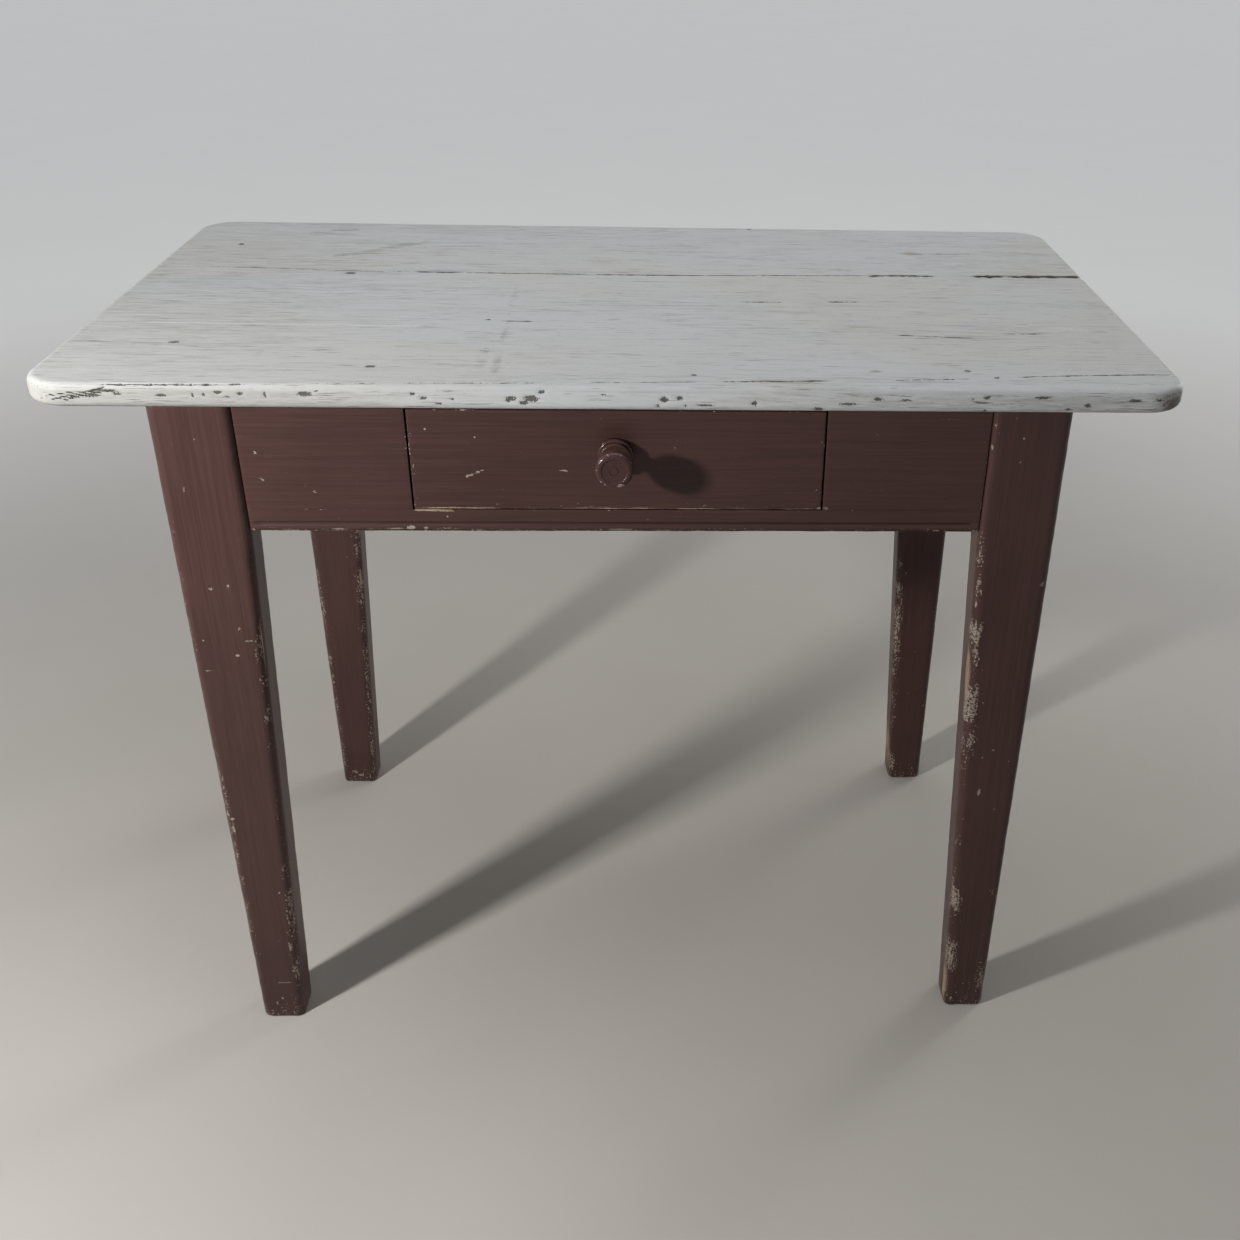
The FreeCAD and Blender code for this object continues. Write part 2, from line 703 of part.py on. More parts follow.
def make_knob_wedge():
    start = "front_back - wedge_length"
    barrel = doc.addObject("Part::Cylinder", "wedge_barrel")
    set_round(barrel, ("knob_offset", start, "knob_height"), (0, 1, 0),
              "wedge_length", "knob_spigot_diameter")
    slab = doc.addObject("Part::Box", "wedge_slab")
    bind(slab, "Length", "knob_spigot_diameter")
    bind(slab, "Width", "wedge_length")
    bind(slab, "Height", "wedge_thickness")
    slab_corner = ("knob_offset - knob_spigot_diameter / 2", start, "knob_height - wedge_thickness / 2")
    for axis, place in zip("xyz", slab_corner):
        bind(slab, "Placement.Base." + axis, place)
    wedge = doc.addObject("Part::Common", "knob_wedge")
    wedge.Label = "knob_wedge"
    wedge.Base = barrel
    wedge.Tool = slab
    pieces["knob_wedge"] = wedge


def make_drawer():
    make_drawer_front()
    drawer_sides = {word: make_drawer_side("drawer_side_" + word, side) for word, side in SIDES.items()}
    back = make_drawer_back()
    bottom = make_drawer_bottom()
    nails = []
    middle_y = "(drawer_back_front + drawer_back_rear) / 2"
    for word, side in SIDES.items():
        for share in BACK_NAIL_SHARES:
            head = ("%d * drawer_half" % side, middle_y,
                    "panel_top + (drawer_back_top - panel_top) * %g" % share)
            fasten(nails, "nail", head, (-side, 0, 0), "drawer_side_thickness", [drawer_sides[word], back])
    for share in BOTTOM_NAIL_SHARES:
        head = ("drawer_inside_half * %g" % share, middle_y, "panel_low")
        fasten(nails, "nail", head, (0, 0, 1), "drawer_bottom_thickness", [bottom, back])
    join_group("drawer_nails", nails)
    make_knob()
    make_knob_wedge()


# Assembly

top_boards = {"front": make_top_board("top_board_front", "top_front", "top_seam", "top_front"),
              "back": make_top_board("top_board_back", "top_seam", "top_back", "top_back")}
make_dowels()
for row_word in ("front", "back"):
    for side_word, side_sign in SIDES.items():
        make_leg("leg_%s_%s" % (row_word, side_word), side_sign, row_word == "front")
make_drawer_rail()
for side_word, side_sign in SIDES.items():
    make_front_apron("apron_front_" + side_word, side_sign)
side_boards = {word: make_side_apron("apron_" + word, side) for word, side in SIDES.items()}
make_blocks(top_boards, side_boards, make_back_apron())
make_running_gear()
make_drawer()

doc.recompute()
for item in doc.Objects:
    if "Invalid" in item.State or "Error" in item.State:
        raise RuntimeError("%s failed: %s" % (item.Label, item.State))
for label, piece in pieces.items():
    if piece.Shape.isNull() or not piece.Shape.isValid():
        raise RuntimeError("%s has no valid shape" % label)

os.makedirs("parts", exist_ok=True)
for label, piece in pieces.items():
    piece.Shape.exportStep("parts/%s.step" % label)
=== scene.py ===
import math

import bpy
import numpy as np
from mathutils import Euler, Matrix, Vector


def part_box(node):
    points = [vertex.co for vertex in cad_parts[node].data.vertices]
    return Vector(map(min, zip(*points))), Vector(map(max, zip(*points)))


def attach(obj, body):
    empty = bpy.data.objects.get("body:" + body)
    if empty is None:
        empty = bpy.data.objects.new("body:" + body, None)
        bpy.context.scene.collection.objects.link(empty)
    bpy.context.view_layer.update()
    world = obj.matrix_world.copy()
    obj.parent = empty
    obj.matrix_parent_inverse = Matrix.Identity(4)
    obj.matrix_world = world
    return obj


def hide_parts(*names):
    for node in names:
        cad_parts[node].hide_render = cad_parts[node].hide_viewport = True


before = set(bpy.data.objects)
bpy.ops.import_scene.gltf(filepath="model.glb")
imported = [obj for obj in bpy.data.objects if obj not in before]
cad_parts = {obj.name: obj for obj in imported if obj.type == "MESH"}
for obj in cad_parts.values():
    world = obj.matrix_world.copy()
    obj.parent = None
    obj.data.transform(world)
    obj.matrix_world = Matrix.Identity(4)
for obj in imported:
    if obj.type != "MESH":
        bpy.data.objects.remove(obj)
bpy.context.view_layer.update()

# Places that the pieces in model.glb give, in metres
FRONT_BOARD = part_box("top_board_front")
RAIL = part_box("drawer_rail")
HALF_LENGTH = FRONT_BOARD[1].x
TOP_Z = FRONT_BOARD[1].z
UNDER_Z = FRONT_BOARD[0].z
FRONT_Y = FRONT_BOARD[0].y
BACK_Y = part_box("top_board_back")[1].y
RAIL_BOTTOM = RAIL[0].z
APRON_FACE = RAIL[0].y
LEG_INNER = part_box("leg_front_right")[0].x
LEG_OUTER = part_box("leg_front_right")[1].x

TURN = 2 * math.pi
QUARTER = math.pi / 2
SIDES = {"left": -1, "right": 1}
NO_LENGTH = 1e-9
WAVE_LENGTHS = (0.5, 1.6)
CLOUD_SIZES = (0.7, 1.8)


# Numbers over points

def smooth(low, high, value):
    share = np.clip((value - low) / (high - low), 0, 1)
    return share * share * (3 - 2 * share)


def waves(place, length, seed, count=5):
    """A smooth random curve along one coordinate, mostly between -1 and 1."""
    draw = np.random.default_rng(seed)
    lengths = length * draw.uniform(*WAVE_LENGTHS, count)
    starts = draw.uniform(0, TURN, count)
    curves = [np.sin(TURN * place / one + start) for one, start in zip(lengths, starts)]
    return sum(curves) / math.sqrt(count)


def cloud(points, size, seed, count=20):
    """A smooth random field over points, mostly between -1 and 1."""
    draw = np.random.default_rng(seed)
    total = np.zeros(len(points))
    for _ in range(count):
        direction = draw.normal(size=3)
        direction *= TURN / (size * draw.uniform(*CLOUD_SIZES) * np.linalg.norm(direction))
        total += np.sin(points @ direction + draw.uniform(0, TURN))
    return total / math.sqrt(count)


def patchy(points, base, clouds, number=0, most=1.0):
    """A share that varies in patches: a base, and clouds as (weight, size, seed)."""
    parts = (weight * cloud(points, size, seed + number) for weight, size, seed in clouds)
    return np.clip(sum(parts, base), 0, most)


def spot(points, centre, radii):
    """1 at the centre of an ellipsoid, falling to 0 on its skin."""
    distance = (((points - np.array(centre)) / np.array(radii)) ** 2).sum(axis=1)
    return np.clip(1 - distance, 0, 1)


def stroke(points, start, stop, radii):
    """1 on the line between two points, falling to 0 at the radii from it."""
    start, stop, radii = (np.array(one, float) for one in (start, stop, radii))
    span = (stop - start) / radii
    share = np.clip(((points - start) / radii) @ span / (span @ span), 0, 1)
    return spot(points - share[:, None] * (stop - start), start, radii)


def round_drop(distance, radius):
    """How far a rounded edge lies below its face, at a distance from the side."""
    inner = radius - np.minimum(distance, radius)
    return radius - np.sqrt(np.maximum(radius ** 2 - inner ** 2, 0))


# Shaders

class Field:
    """A number that varies over a surface: one output of a node."""

    def __init__(self, graph, socket):
        self.graph, self.socket = graph, socket

    def __add__(self, other):
        return self.graph.math("ADD", self, other)

    def __sub__(self, other):
        return self.graph.math("SUBTRACT", self, other)

    def __mul__(self, other):
        return self.graph.math("MULTIPLY", self, other)

    def most(self, other):
        return self.graph.math("MAXIMUM", self, other)

    def ramp(self, low, high):
        inputs = {"Value": self, "From Min": low, "From Max": high}
        return self.graph.node("MapRange", "Result", inputs, interpolation_type="SMOOTHSTEP")


SEEN_RAYS = ("Is Camera Ray", "Is Glossy Ray", "Is Transmission Ray")


class Graph:
    """A node tree, with short ways to add nodes to it."""

    def __init__(self, tree):
        self.tree = tree

    def feed(self, socket, value):
        if isinstance(value, Field):
            self.tree.links.new(value.socket, socket)
        else:
            socket.default_value = value

    def node(self, kind, output, inputs, **settings):
        made = self.tree.nodes.new("ShaderNode" + kind)
        for name, value in settings.items():
            setattr(made, name, value)
        for key, value in inputs.items():
            self.feed(made.inputs[key], value)
        return Field(self, made.outputs[output])

    def math(self, operation, first, second):
        return self.node("Math", 0, {0: first, 1: second}, operation=operation)

    def seen(self):
        """1 for what the eye sees, straight or in a reflection, and 0 for what only lights."""
        camera, glossy, through = (self.node("LightPath", ray, {}) for ray in SEEN_RAYS)
        return camera.most(glossy).most(through)


class Shader(Graph):
    """A material with a Principled surface, and its noises, marks and mixes."""

    MIX_SHARE, MIX_FIRST, MIX_SECOND, MIX_RESULT = 0, 6, 7, 2

    def __init__(self, name):
        self.material = bpy.data.materials.new(name)
        self.material.use_nodes = True
        super().__init__(self.material.node_tree)
        self.surface = self.tree.nodes["Principled BSDF"].inputs
        self.place = self.node("TexCoord", "Object", {})

    def mark(self, name):
        return self.node("Attribute", "Fac", {}, attribute_name=name)

    def broken(self, name, *noises):
        """A mark whose outline is broken up by noises, each with its weight."""
        total = self.mark(name)
        for noise, weight in noises:
            total = total + (noise - 0.5) * weight
        return total

    def stretched(self, stretch, offset=(0, 0, 0)):
        inputs = {"Vector": self.place, "Scale": stretch, "Location": offset}
        return self.node("Mapping", "Vector", inputs)

    def noise(self, stretch, detail=3.0, roughness=0.5, distortion=0.0, offset=(0, 0, 0)):
        inputs = {"Vector": self.stretched(stretch, offset), "Scale": 1.0, "Detail": detail,
                  "Roughness": roughness, "Distortion": distortion}
        return self.node("TexNoise", "Fac", inputs)

    def cells(self, stretch, offset=(0, 0, 0)):
        """Distance to the nearest of scattered points, in cells."""
        inputs = {"Vector": self.stretched(stretch, offset), "Scale": 1.0}
        return self.node("TexVoronoi", "Distance", inputs)

    def mix(self, share, first, second):
        inputs = {self.MIX_SHARE: share, self.MIX_FIRST: first, self.MIX_SECOND: second}
        return self.node("Mix", self.MIX_RESULT, inputs, data_type="RGBA")

    def bump(self, height, distance, strength):
        inputs = {"Height": height, "Distance": distance, "Strength": strength}
        self.feed(self.surface["Normal"], self.node("Bump", "Normal", inputs))

    def set(self, **values):
        for name, value in values.items():
            self.feed(self.surface[name.replace("_", " ")], value)


def colour(red, green, blue):
    return (red, green, blue, 1.0)


def along(axis, length, width):
    """Noise scales for streaks of about that length and width along an axis."""
    return tuple(1 / length if one == axis else 1 / width for one in "xyz")


def even(scale):
    """Noise scales, per metre, that are alike along all axes."""
    return (scale, scale, scale)


WHITE_WARM = colour(0.505, 0.505, 0.49)
WHITE_COOL = colour(0.50, 0.515, 0.525)
WHITE_THIN = colour(0.285, 0.278, 0.262)
WHITE_HAIR = colour(0.155, 0.147, 0.135)
WHITE_SCUFF = colour(0.64, 0.65, 0.64)
WHITE_RUB = colour(0.185, 0.170, 0.150)
# Paler paint for the sides, partly painted light on the edge
WHITE_PALE_AND_LIT = colour(0.72, 0.735, 0.74)
# Darker paint for the sides to the left
WHITE_DARKER_LEFT = colour(0.385, 0.375, 0.345)
CRACK_DIRT = colour(0.045, 0.038, 0.03)
OLD_STAIN = colour(0.17, 0.135, 0.085)
BARE_DIRT = colour(0.075, 0.065, 0.055)


def white_paint():
    s = Shader("white_paint")
    broad = s.noise((3, 6, 6), detail=2)
    grain = s.noise(along("x", length=0.05, width=0.0042), detail=7, roughness=0.72, distortion=0.3)
    hair = s.noise(along("x", length=0.034, width=0.0012), detail=3, roughness=0.6)
    thin = s.noise(along("x", length=0.10, width=0.022), detail=5, roughness=0.65)
    lines = s.noise(along("x", length=0.35, width=0.0021), detail=2)
    grit = s.noise(even(650), detail=3, roughness=0.65)
    thin_paint_and_shade, rub = s.mark("thin_paint_and_shade"), s.mark("rub")
    long_face = s.mark("end") * -0.8 + 1.0
    hairs = hair.ramp(0.59, 0.65) * (thin + thin_paint_and_shade * 0.08).ramp(0.45, 0.55)
    specks = (hair * 0.5 + grit * 0.5).ramp(0.62, 0.65)
    flecks = (rub * 0.12 + grain * 0.3 + hair * 0.35 + grit * 0.35).ramp(0.535, 0.60)
    pale = s.broken("pale", (grain, 1.2), (grit, 1.2)).ramp(0.35, 0.7)
    stain = s.broken("stain", (grain, 1.8), (hair, 0.9)).ramp(0.22, 0.85)
    bare = s.broken("bare", (grit, 1.9)).ramp(0.46, 0.60)
    dirt = s.broken("dark", (grit, 1.2), (hair, 0.8)).ramp(0.34, 0.66)
    layers = (
        # Paler paint on the sides, partly painted light that evens out the key lamp's falloff
        (s.mark("pale_paint_and_light") * 0.95, WHITE_PALE_AND_LIT),
        # Darker paint on the sides to the left
        (s.mark("darker_left_sides") * 0.75, WHITE_DARKER_LEFT),
        # Greyed streaks: thin paint on the top and the right sides, and on the left sides a painted shade
        # wash
        ((grain + thin_paint_and_shade * 0.16).ramp(0.48, 0.86) * long_face * 0.62, WHITE_THIN),
        (lines.ramp(0.57, 0.68) * thin.ramp(0.42, 0.58) * long_face * 0.45, WHITE_THIN),
        (hairs * long_face * 0.8, WHITE_HAIR),
        (specks * long_face * 0.8, WHITE_HAIR),
        (flecks * rub.ramp(0.02, 0.35) * 0.62, WHITE_RUB),
        (pale * 0.8, WHITE_SCUFF),
        (stain * 0.75, OLD_STAIN),
        (bare * 0.9, BARE_DIRT),
        (dirt, CRACK_DIRT),
    )
    paint = s.mix(broad.ramp(0.35, 0.65), WHITE_WARM, WHITE_COOL)
    for share, tint in layers:
        paint = s.mix(share, paint, tint)
    s.set(Base_Color=paint, Roughness=(grain - 0.5) * 0.5 + 0.56 + bare * 0.2, Specular_IOR_Level=0.35)
    s.bump(grain * 0.8 + hair * 0.35 - bare * 0.8 - dirt * 0.8, distance=0.0005, strength=0.8)
    return s.material


BROWN_DEEP = colour(0.058, 0.0275, 0.024)
BROWN_LIT = colour(0.074, 0.0355, 0.031)
CHIP_PALE = colour(0.38, 0.32, 0.265)
WORN_WOOD = colour(0.20, 0.135, 0.085)
WORN_WOOD_PALE = colour(0.42, 0.32, 0.22)


def brown_paint(name, axis, roughness=0.36):
    s = Shader(name)
    brush = s.noise(along(axis, length=0.12, width=0.0022), detail=5, roughness=0.6)
    grain = s.noise(along(axis, length=0.05, width=0.0016), detail=3)
    dash = s.noise(along(axis, length=0.012, width=0.0022), detail=3, offset=(1, 8, 3))
    broad = s.noise(even(9), detail=3)
    patch = s.noise(even(16), detail=3, offset=(3, 1, 2))
    fine = s.noise(even(300), detail=2)
    flake = s.noise(even(430), detail=3, roughness=0.65, offset=(4, 9, 1))
    sand = s.noise(even(1050), detail=3, roughness=0.6, offset=(7, 2, 4))
    scuff = s.mark("scuff")
    worn = s.broken("worn", (grain, 1.3), (sand, 1.2)).ramp(0.42, 0.62)
    wood = s.mix(grain.ramp(0.38, 0.62), WORN_WOOD, WORN_WOOD_PALE)
    specks = s.cells(even(60), offset=(5, 5, 5)).ramp(0.075, 0.045) * patch.ramp(0.56, 0.62)
    rubbed = (s.mark("edge") * 0.5 + patch * 0.7 + (fine - 0.5) * 1.3).ramp(1.0, 1.07)
    scuffs = (flake * 0.7 + dash * 0.3 + scuff * 0.20).ramp(0.667, 0.687) * scuff.ramp(0.02, 0.15)
    chip = s.broken("chip", (fine, 0.8), (sand, 1.2)).ramp(0.50, 0.62)
    chip = chip.most(rubbed).most(specks).most(scuffs)
    paint = s.mix((brush * 0.6 + broad * 0.4).ramp(0.38, 0.62), BROWN_DEEP, BROWN_LIT)
    paint = s.mix(worn, paint, wood)
    paint = s.mix(chip * 0.85, paint, CHIP_PALE)
    s.set(Base_Color=paint, Roughness=(brush - 0.5) * 0.4 + roughness + chip * 0.3 + worn * 0.35,
          Specular_IOR_Level=0.28)
    s.bump(brush + broad * 0.5 - chip * 1.2 - worn * 0.8, distance=0.0003, strength=0.55)
    return s.material


WOOD_DARK = colour(0.20, 0.115, 0.055)
WOOD_MIDDLE = colour(0.34, 0.215, 0.115)
WOOD_PALE = colour(0.46, 0.31, 0.18)
WOOD_BANDS = 42.0


def bare_wood(name, axis):
    s = Shader(name)
    rings = s.noise(along(axis, length=0.5, width=0.018), detail=2, distortion=0.6)
    bands = s.math("SINE", rings * WOOD_BANDS, 0.0) * 0.5 + 0.5
    fibre = s.noise(along(axis, length=0.06, width=0.0012), detail=4, roughness=0.6)
    broad = s.noise(even(7), detail=3)
    wood = s.mix(bands * 0.55 + (fibre - 0.5) * 0.9 + 0.1, WOOD_PALE, WOOD_MIDDLE)
    wood = s.mix((broad + (fibre - 0.5) * 0.8).ramp(0.42, 0.72) * 0.6, wood, WOOD_DARK)
    s.set(Base_Color=wood, Roughness=fibre * 0.2 + 0.62)
    s.bump(fibre + bands * 0.2, distance=0.0004, strength=0.6)
    return s.material


STEEL_BRIGHT = colour(0.42, 0.41, 0.39)
STEEL_RUST = colour(0.13, 0.065, 0.035)


def steel():
    s = Shader("steel")
    rust = s.noise(even(260), detail=4).ramp(0.45, 0.62)
    s.set(Base_Color=s.mix(rust, STEEL_BRIGHT, STEEL_RUST), Metallic=rust * -0.8 + 1.0,
          Roughness=rust * 0.4 + 0.35)
    return s.material


FLOOR_PALE = colour(0.52, 0.49, 0.45)
FLOOR_SHADE = colour(0.49, 0.46, 0.42)
BACKDROP = colour(0.52, 0.53, 0.54)
BACKDROP_GLOW = 0.82
BACKDROP_NEAR = 0.5
BACKDROP_FAR = 3.2


def floor_finish():
    """A pale floor, which turns paler to the eye away from the table, as a backdrop does."""
    s = Shader("floor")
    patches = s.noise(even(2), detail=4).ramp(0.3, 0.7)
    s.set(Base_Color=s.mix(patches, FLOOR_PALE, FLOOR_SHADE), Roughness=0.8)
    distance = s.node("VectorMath", "Value", {0: s.place}, operation="LENGTH")
    away = distance.ramp(BACKDROP_NEAR, BACKDROP_FAR)
    s.set(Emission_Color=BACKDROP, Emission_Strength=away * s.seen() * BACKDROP_GLOW)
    return s.material


WHITE = white_paint()
BROWN = {axis: brown_paint("brown_paint_" + axis, axis) for axis in "xyz"}
KNOB_PAINT = brown_paint("knob_paint", "y", roughness=0.20)
WOOD = {axis: bare_wood("bare_wood_" + axis, axis) for axis in "xyz"}
STEEL = steel()


# Pieces

def lift(marks, name, values):
    """Raises a mark to the given values where they are higher."""
    marks[name] = np.maximum(marks[name], values)


def add_piece(name, points, faces, flat_faces, materials, kinds, body, nodes, marks):
    mesh = bpy.data.meshes.new(name)
    mesh.from_pydata(points.tolist(), [], faces + flat_faces)
    for material in materials:
        mesh.materials.append(material)
    mesh.polygons.foreach_set("material_index", kinds)
    mesh.polygons.foreach_set("use_smooth", [True] * len(faces) + [False] * len(flat_faces))
    for mark, values in marks.items():
        attribute = mesh.attributes.new(mark, "FLOAT", "POINT")
        attribute.data.foreach_set("value", np.clip(values, 0, 1).astype(np.float32))
    mesh.update()
    piece = bpy.data.objects.new(name, mesh)
    bpy.context.scene.collection.objects.link(piece)
    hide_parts(*nodes)
    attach(piece, body)


# The two boards of the top

CORNER = 0.040
EDGE = 0.0065
BOARD_COLUMN = 0.0026
BOARD_ROW = 0.0028
EDGE_OFFSETS = (0.0003, 0.0008, 0.0016, 0.0028, 0.0045, 0.0065, 0.009)
CRACK_OFFSETS = (0.0004, 0.0009, 0.0016, 0.0028)
BAND_LEVELS = 7
ROUND_STEPS = 5

# Lines that the rows of the boards follow, as (x, y)
SPLIT = (
    (-0.525, -0.2742), (-0.42, -0.2742), (-0.338, -0.2735), (-0.192, -0.269), (-0.069, -0.266),
    (0.074, -0.260), (0.196, -0.255), (0.325, -0.247), (0.370, -0.240), (0.448, -0.234), (0.525, -0.231),
)
LOW_CRACK = ((-0.525, -0.130), (0.20, -0.126), (0.269, -0.119), (0.354, -0.130), (0.525, -0.132))
STREAK = (
    (-0.525, -0.102), (-0.464, -0.103), (-0.336, -0.105), (-0.201, -0.107), (0.269, -0.110),
    (0.380, -0.114), (0.428, -0.113), (0.525, -0.112),
)
MIDDLE_CRACK = ((-0.525, -0.088), (-0.122, -0.088), (-0.078, -0.0872), (0.525, -0.086))
HIGH_CRACK = ((-0.525, -0.022), (0.124, -0.015), (0.170, -0.0134), (0.256, -0.010), (0.525, -0.004))
SEAM = (
    (-0.525, 0.104), (-0.468, 0.100), (-0.363, 0.092), (-0.231, 0.0862), (-0.031, 0.0842), (0.083, 0.085),
    (0.279, 0.0925), (0.400, 0.094), (0.462, 0.0952), (0.525, 0.098),
)
KNOT_CRACK = ((-0.525, 0.178), (0.30, 0.187), (0.340, 0.189), (0.425, 0.193), (0.525, 0.196))

# Cracks: line, start and stop along it, half width, depth, darkness
CRACKS = (
    (SPLIT, -0.455, -0.32, 0.0006, 0.0012, 0.75), (SPLIT, -0.32, -0.20, 0.0005, 0.0008, 0.6),
    (SPLIT, -0.195, -0.066, 0.0006, 0.0010, 0.75), (SPLIT, -0.032, 0.076, 0.0006, 0.0010, 0.8),
    (SPLIT, 0.09, 0.20, 0.0008, 0.0012, 0.85), (SPLIT, 0.245, 0.328, 0.0006, 0.0010, 0.75),
    (SPLIT, 0.365, 0.520, 0.0007, 0.0012, 0.8), (LOW_CRACK, 0.266, 0.356, 0.0007, 0.0010, 0.8),
    (STREAK, 0.378, 0.430, 0.0008, 0.0012, 0.9), (MIDDLE_CRACK, -0.125, -0.075, 0.0009, 0.0014, 1.0),
    (HIGH_CRACK, 0.120, 0.172, 0.0008, 0.0012, 1.0), (HIGH_CRACK, 0.211, 0.258, 0.0008, 0.0012, 1.0),
    (KNOT_CRACK, 0.338, 0.428, 0.0007, 0.0008, 0.6),
)

# Stretches of the seam: start, stop, opening, darkness
SEAM_STRETCHES = (
    (-0.50, -0.25, 0.0005, 0.5), (-0.235, -0.183, 0.0010, 0.85), (-0.18, -0.04, 0.0006, 0.65),
    (-0.036, 0.088, 0.0008, 0.8), (0.09, 0.27, 0.0006, 0.6), (0.276, 0.350, 0.0012, 0.85),
    (0.398, 0.431, 0.0028, 1.0), (0.441, 0.530, 0.0030, 1.0),
)
SEAM_OPEN = ((0.276, 0.350), (0.400, 0.430), (0.444, 0.520))
SEAM_SHUT = 0.0001
SEAM_SHUT_DARK = 0.1
SEAM_FADE = 0.006
SEAM_DIRT = 0.0009
SEAM_NEAR = 0.01
SEAM_DIRT_MOST = 1.4
SEAM_ROUND = 0.0006
SEAM_FACING = 0.05
# How much the rounding and the dirt grow with the opening
SEAM_ROUND_GROWTH = 1.5
SEAM_DIRT_GROWTH = 1.3
SEAM_CORNERS = {-1: 0.003, 1: 0.008}
# Spots along the open seam: step, ranges of distance, half length and half width
SEAM_SPOT_STEP = 0.010
SEAM_SPOT_AWAY = (0.0015, 0.0035)
SEAM_SPOT_LONG = (0.002, 0.008)
SEAM_SPOT_WIDE = (0.0016, 0.0036)
SEAM_SPOT_SEED = 8
# Ragged sides of the seam and the cracks: weight and length of the waves, seed; and the least share
SEAM_RAGGED = ((0.55, 0.022, 11), (0.35, 0.008, 12))
CRACK_RAGGED = ((0.35, 0.03, 20), (0.3, 0.008, 60))
SEAM_LEAST = 0.1
CRACK_LEAST = 0.15
CRACK_FADE = 0.012
CRACK_DARK = 1.25
CRACK_DARK_FALL = 0.5
# Steps along a line over which its corners are evened out
LINE_STEPS = (-0.03, -0.015, 0, 0.015, 0.03)

# Dark spots: place, half length, half width
DARK_SPOTS = (
    (-0.455, 0.1955, 0.005, 0.007), (-0.305, 0.0785, 0.009, 0.006), (-0.421, -0.1625, 0.008, 0.0045),
    (-0.226, -0.2255, 0.008, 0.0045), (0.069, -0.2425, 0.004, 0.004), (0.325, -0.2255, 0.005, 0.004),
    (0.349, -0.2435, 0.004, 0.0035), (-0.135, -0.083, 0.004, 0.004), (0.150, 0.298, 0.004, 0.004),
)
# Stains: place, half length, half width, strength
STAIN_SPOTS = (
    (0.340, 0.1895, 0.019, 0.012, 0.72), (0.238, -0.2275, 0.011, 0.007, 0.7),
    (0.145, -0.258, 0.065, 0.007, 0.7), (0.385, 0.1915, 0.045, 0.005, 0.5),
    (-0.315, 0.285, 0.015, 0.009, 0.5), (-0.40, 0.297, 0.02, 0.005, 0.5),
    (0.245, -0.095, 0.026, 0.009, 0.5), (0.335, -0.128, 0.026, 0.008, 0.52),
    (0.460, 0.0985, 0.060, 0.007, 0.6), (0.313, 0.0965, 0.040, 0.006, 0.55),
    (-0.31, 0.09, 0.02, 0.006, 0.6),
)
# Greyed, thinly painted areas: place, half length, half width, strength
GREY_AREAS = (
    (-0.50, 0.0, 0.30, 0.35, 0.8), (-0.30, 0.30, 0.30, 0.06, 0.6), (-0.42, 0.10, 0.18, 0.03, 0.7),
    (-0.10, 0.27, 0.30, 0.05, 0.4), (0.30, -0.11, 0.25, 0.04, 0.5), (0.15, -0.25, 0.35, 0.018, 0.5),
    (0.46, 0.12, 0.12, 0.10, 0.5), (0.05, -0.02, 0.28, 0.05, 0.3), (-0.12, 0.09, 0.30, 0.012, 0.5),
)
# Pale scratches and dark rub marks: start, stop, half width, strength
PALE_LINES = (
    ((-0.464, -0.103), (-0.201, -0.107), 0.0022, 0.7), ((0.423, -0.100), (0.440, -0.104), 0.007, 0.5),
    ((0.445, -0.094), (0.472, -0.099), 0.009, 0.5), ((0.396, -0.092), (0.415, -0.090), 0.006, 0.45),
)
RUB_MARKS = (
    ((-0.116, 0.0395), (-0.1165, -0.05), 0.006, 0.55), ((-0.1165, -0.05), (-0.1135, -0.14), 0.0035, 0.6),
    ((-0.1135, -0.14), (-0.112, -0.2385), 0.0055, 0.65),
    ((-0.127, -0.1745), (-0.128, -0.2385), 0.006, 0.6),
)

# Chips in the front edge: x, height under the top face, half length, half height
EDGE_CHIPS = (
    (-0.438, 0.009, 0.003, 0.002), (-0.398, 0.010, 0.006, 0.002), (-0.371, 0.010, 0.002, 0.003),
    (-0.362, 0.009, 0.002, 0.003), (-0.349, 0.007, 0.005, 0.002), (-0.341, 0.011, 0.002, 0.002),
    (-0.330, 0.008, 0.004, 0.002), (-0.309, 0.009, 0.002, 0.004), (-0.274, 0.008, 0.009, 0.003),
    (-0.180, 0.007, 0.003, 0.002), (-0.094, 0.011, 0.007, 0.003), (-0.076, 0.011, 0.009, 0.004),
    (-0.083, 0.015, 0.005, 0.003), (0.042, 0.011, 0.005, 0.004), (0.036, 0.017, 0.005, 0.002),
    (0.062, 0.017, 0.002, 0.002), (0.078, 0.016, 0.012, 0.0015), (0.123, 0.014, 0.004, 0.003),
    (0.208, 0.014, 0.014, 0.0014), (0.384, 0.007, 0.011, 0.0016), (0.427, 0.014, 0.004, 0.003),
    (0.470, 0.009, 0.010, 0.002), (0.492, 0.009, 0.006, 0.002), (-0.445, 0.006, 0.014, 0.0016),
    (-0.46, 0.011, 0.016, 0.0014), (0.26, 0.010, 0.01, 0.0012), (0.33, 0.012, 0.012, 0.0012),
)
CHIP_DEPTH = 0.0005
CHIP_REACH = 0.009
# Chips press in along the board too where it is farther to its middle than this times its half width
CHIP_END = 1.2
# Small chips round the edge: count, reach, ranges of size, stretch and height under the top face
LOOSE_CHIPS = 60
LOOSE_CHIP_REACH = 0.008
LOOSE_CHIP_SIZE = (0.001, 0.0028)
LOOSE_CHIP_STRETCH = (1, 3)
LOOSE_CHIP_DROP = (0.002, 0.020)
LOOSE_CHIP_SEED = 5

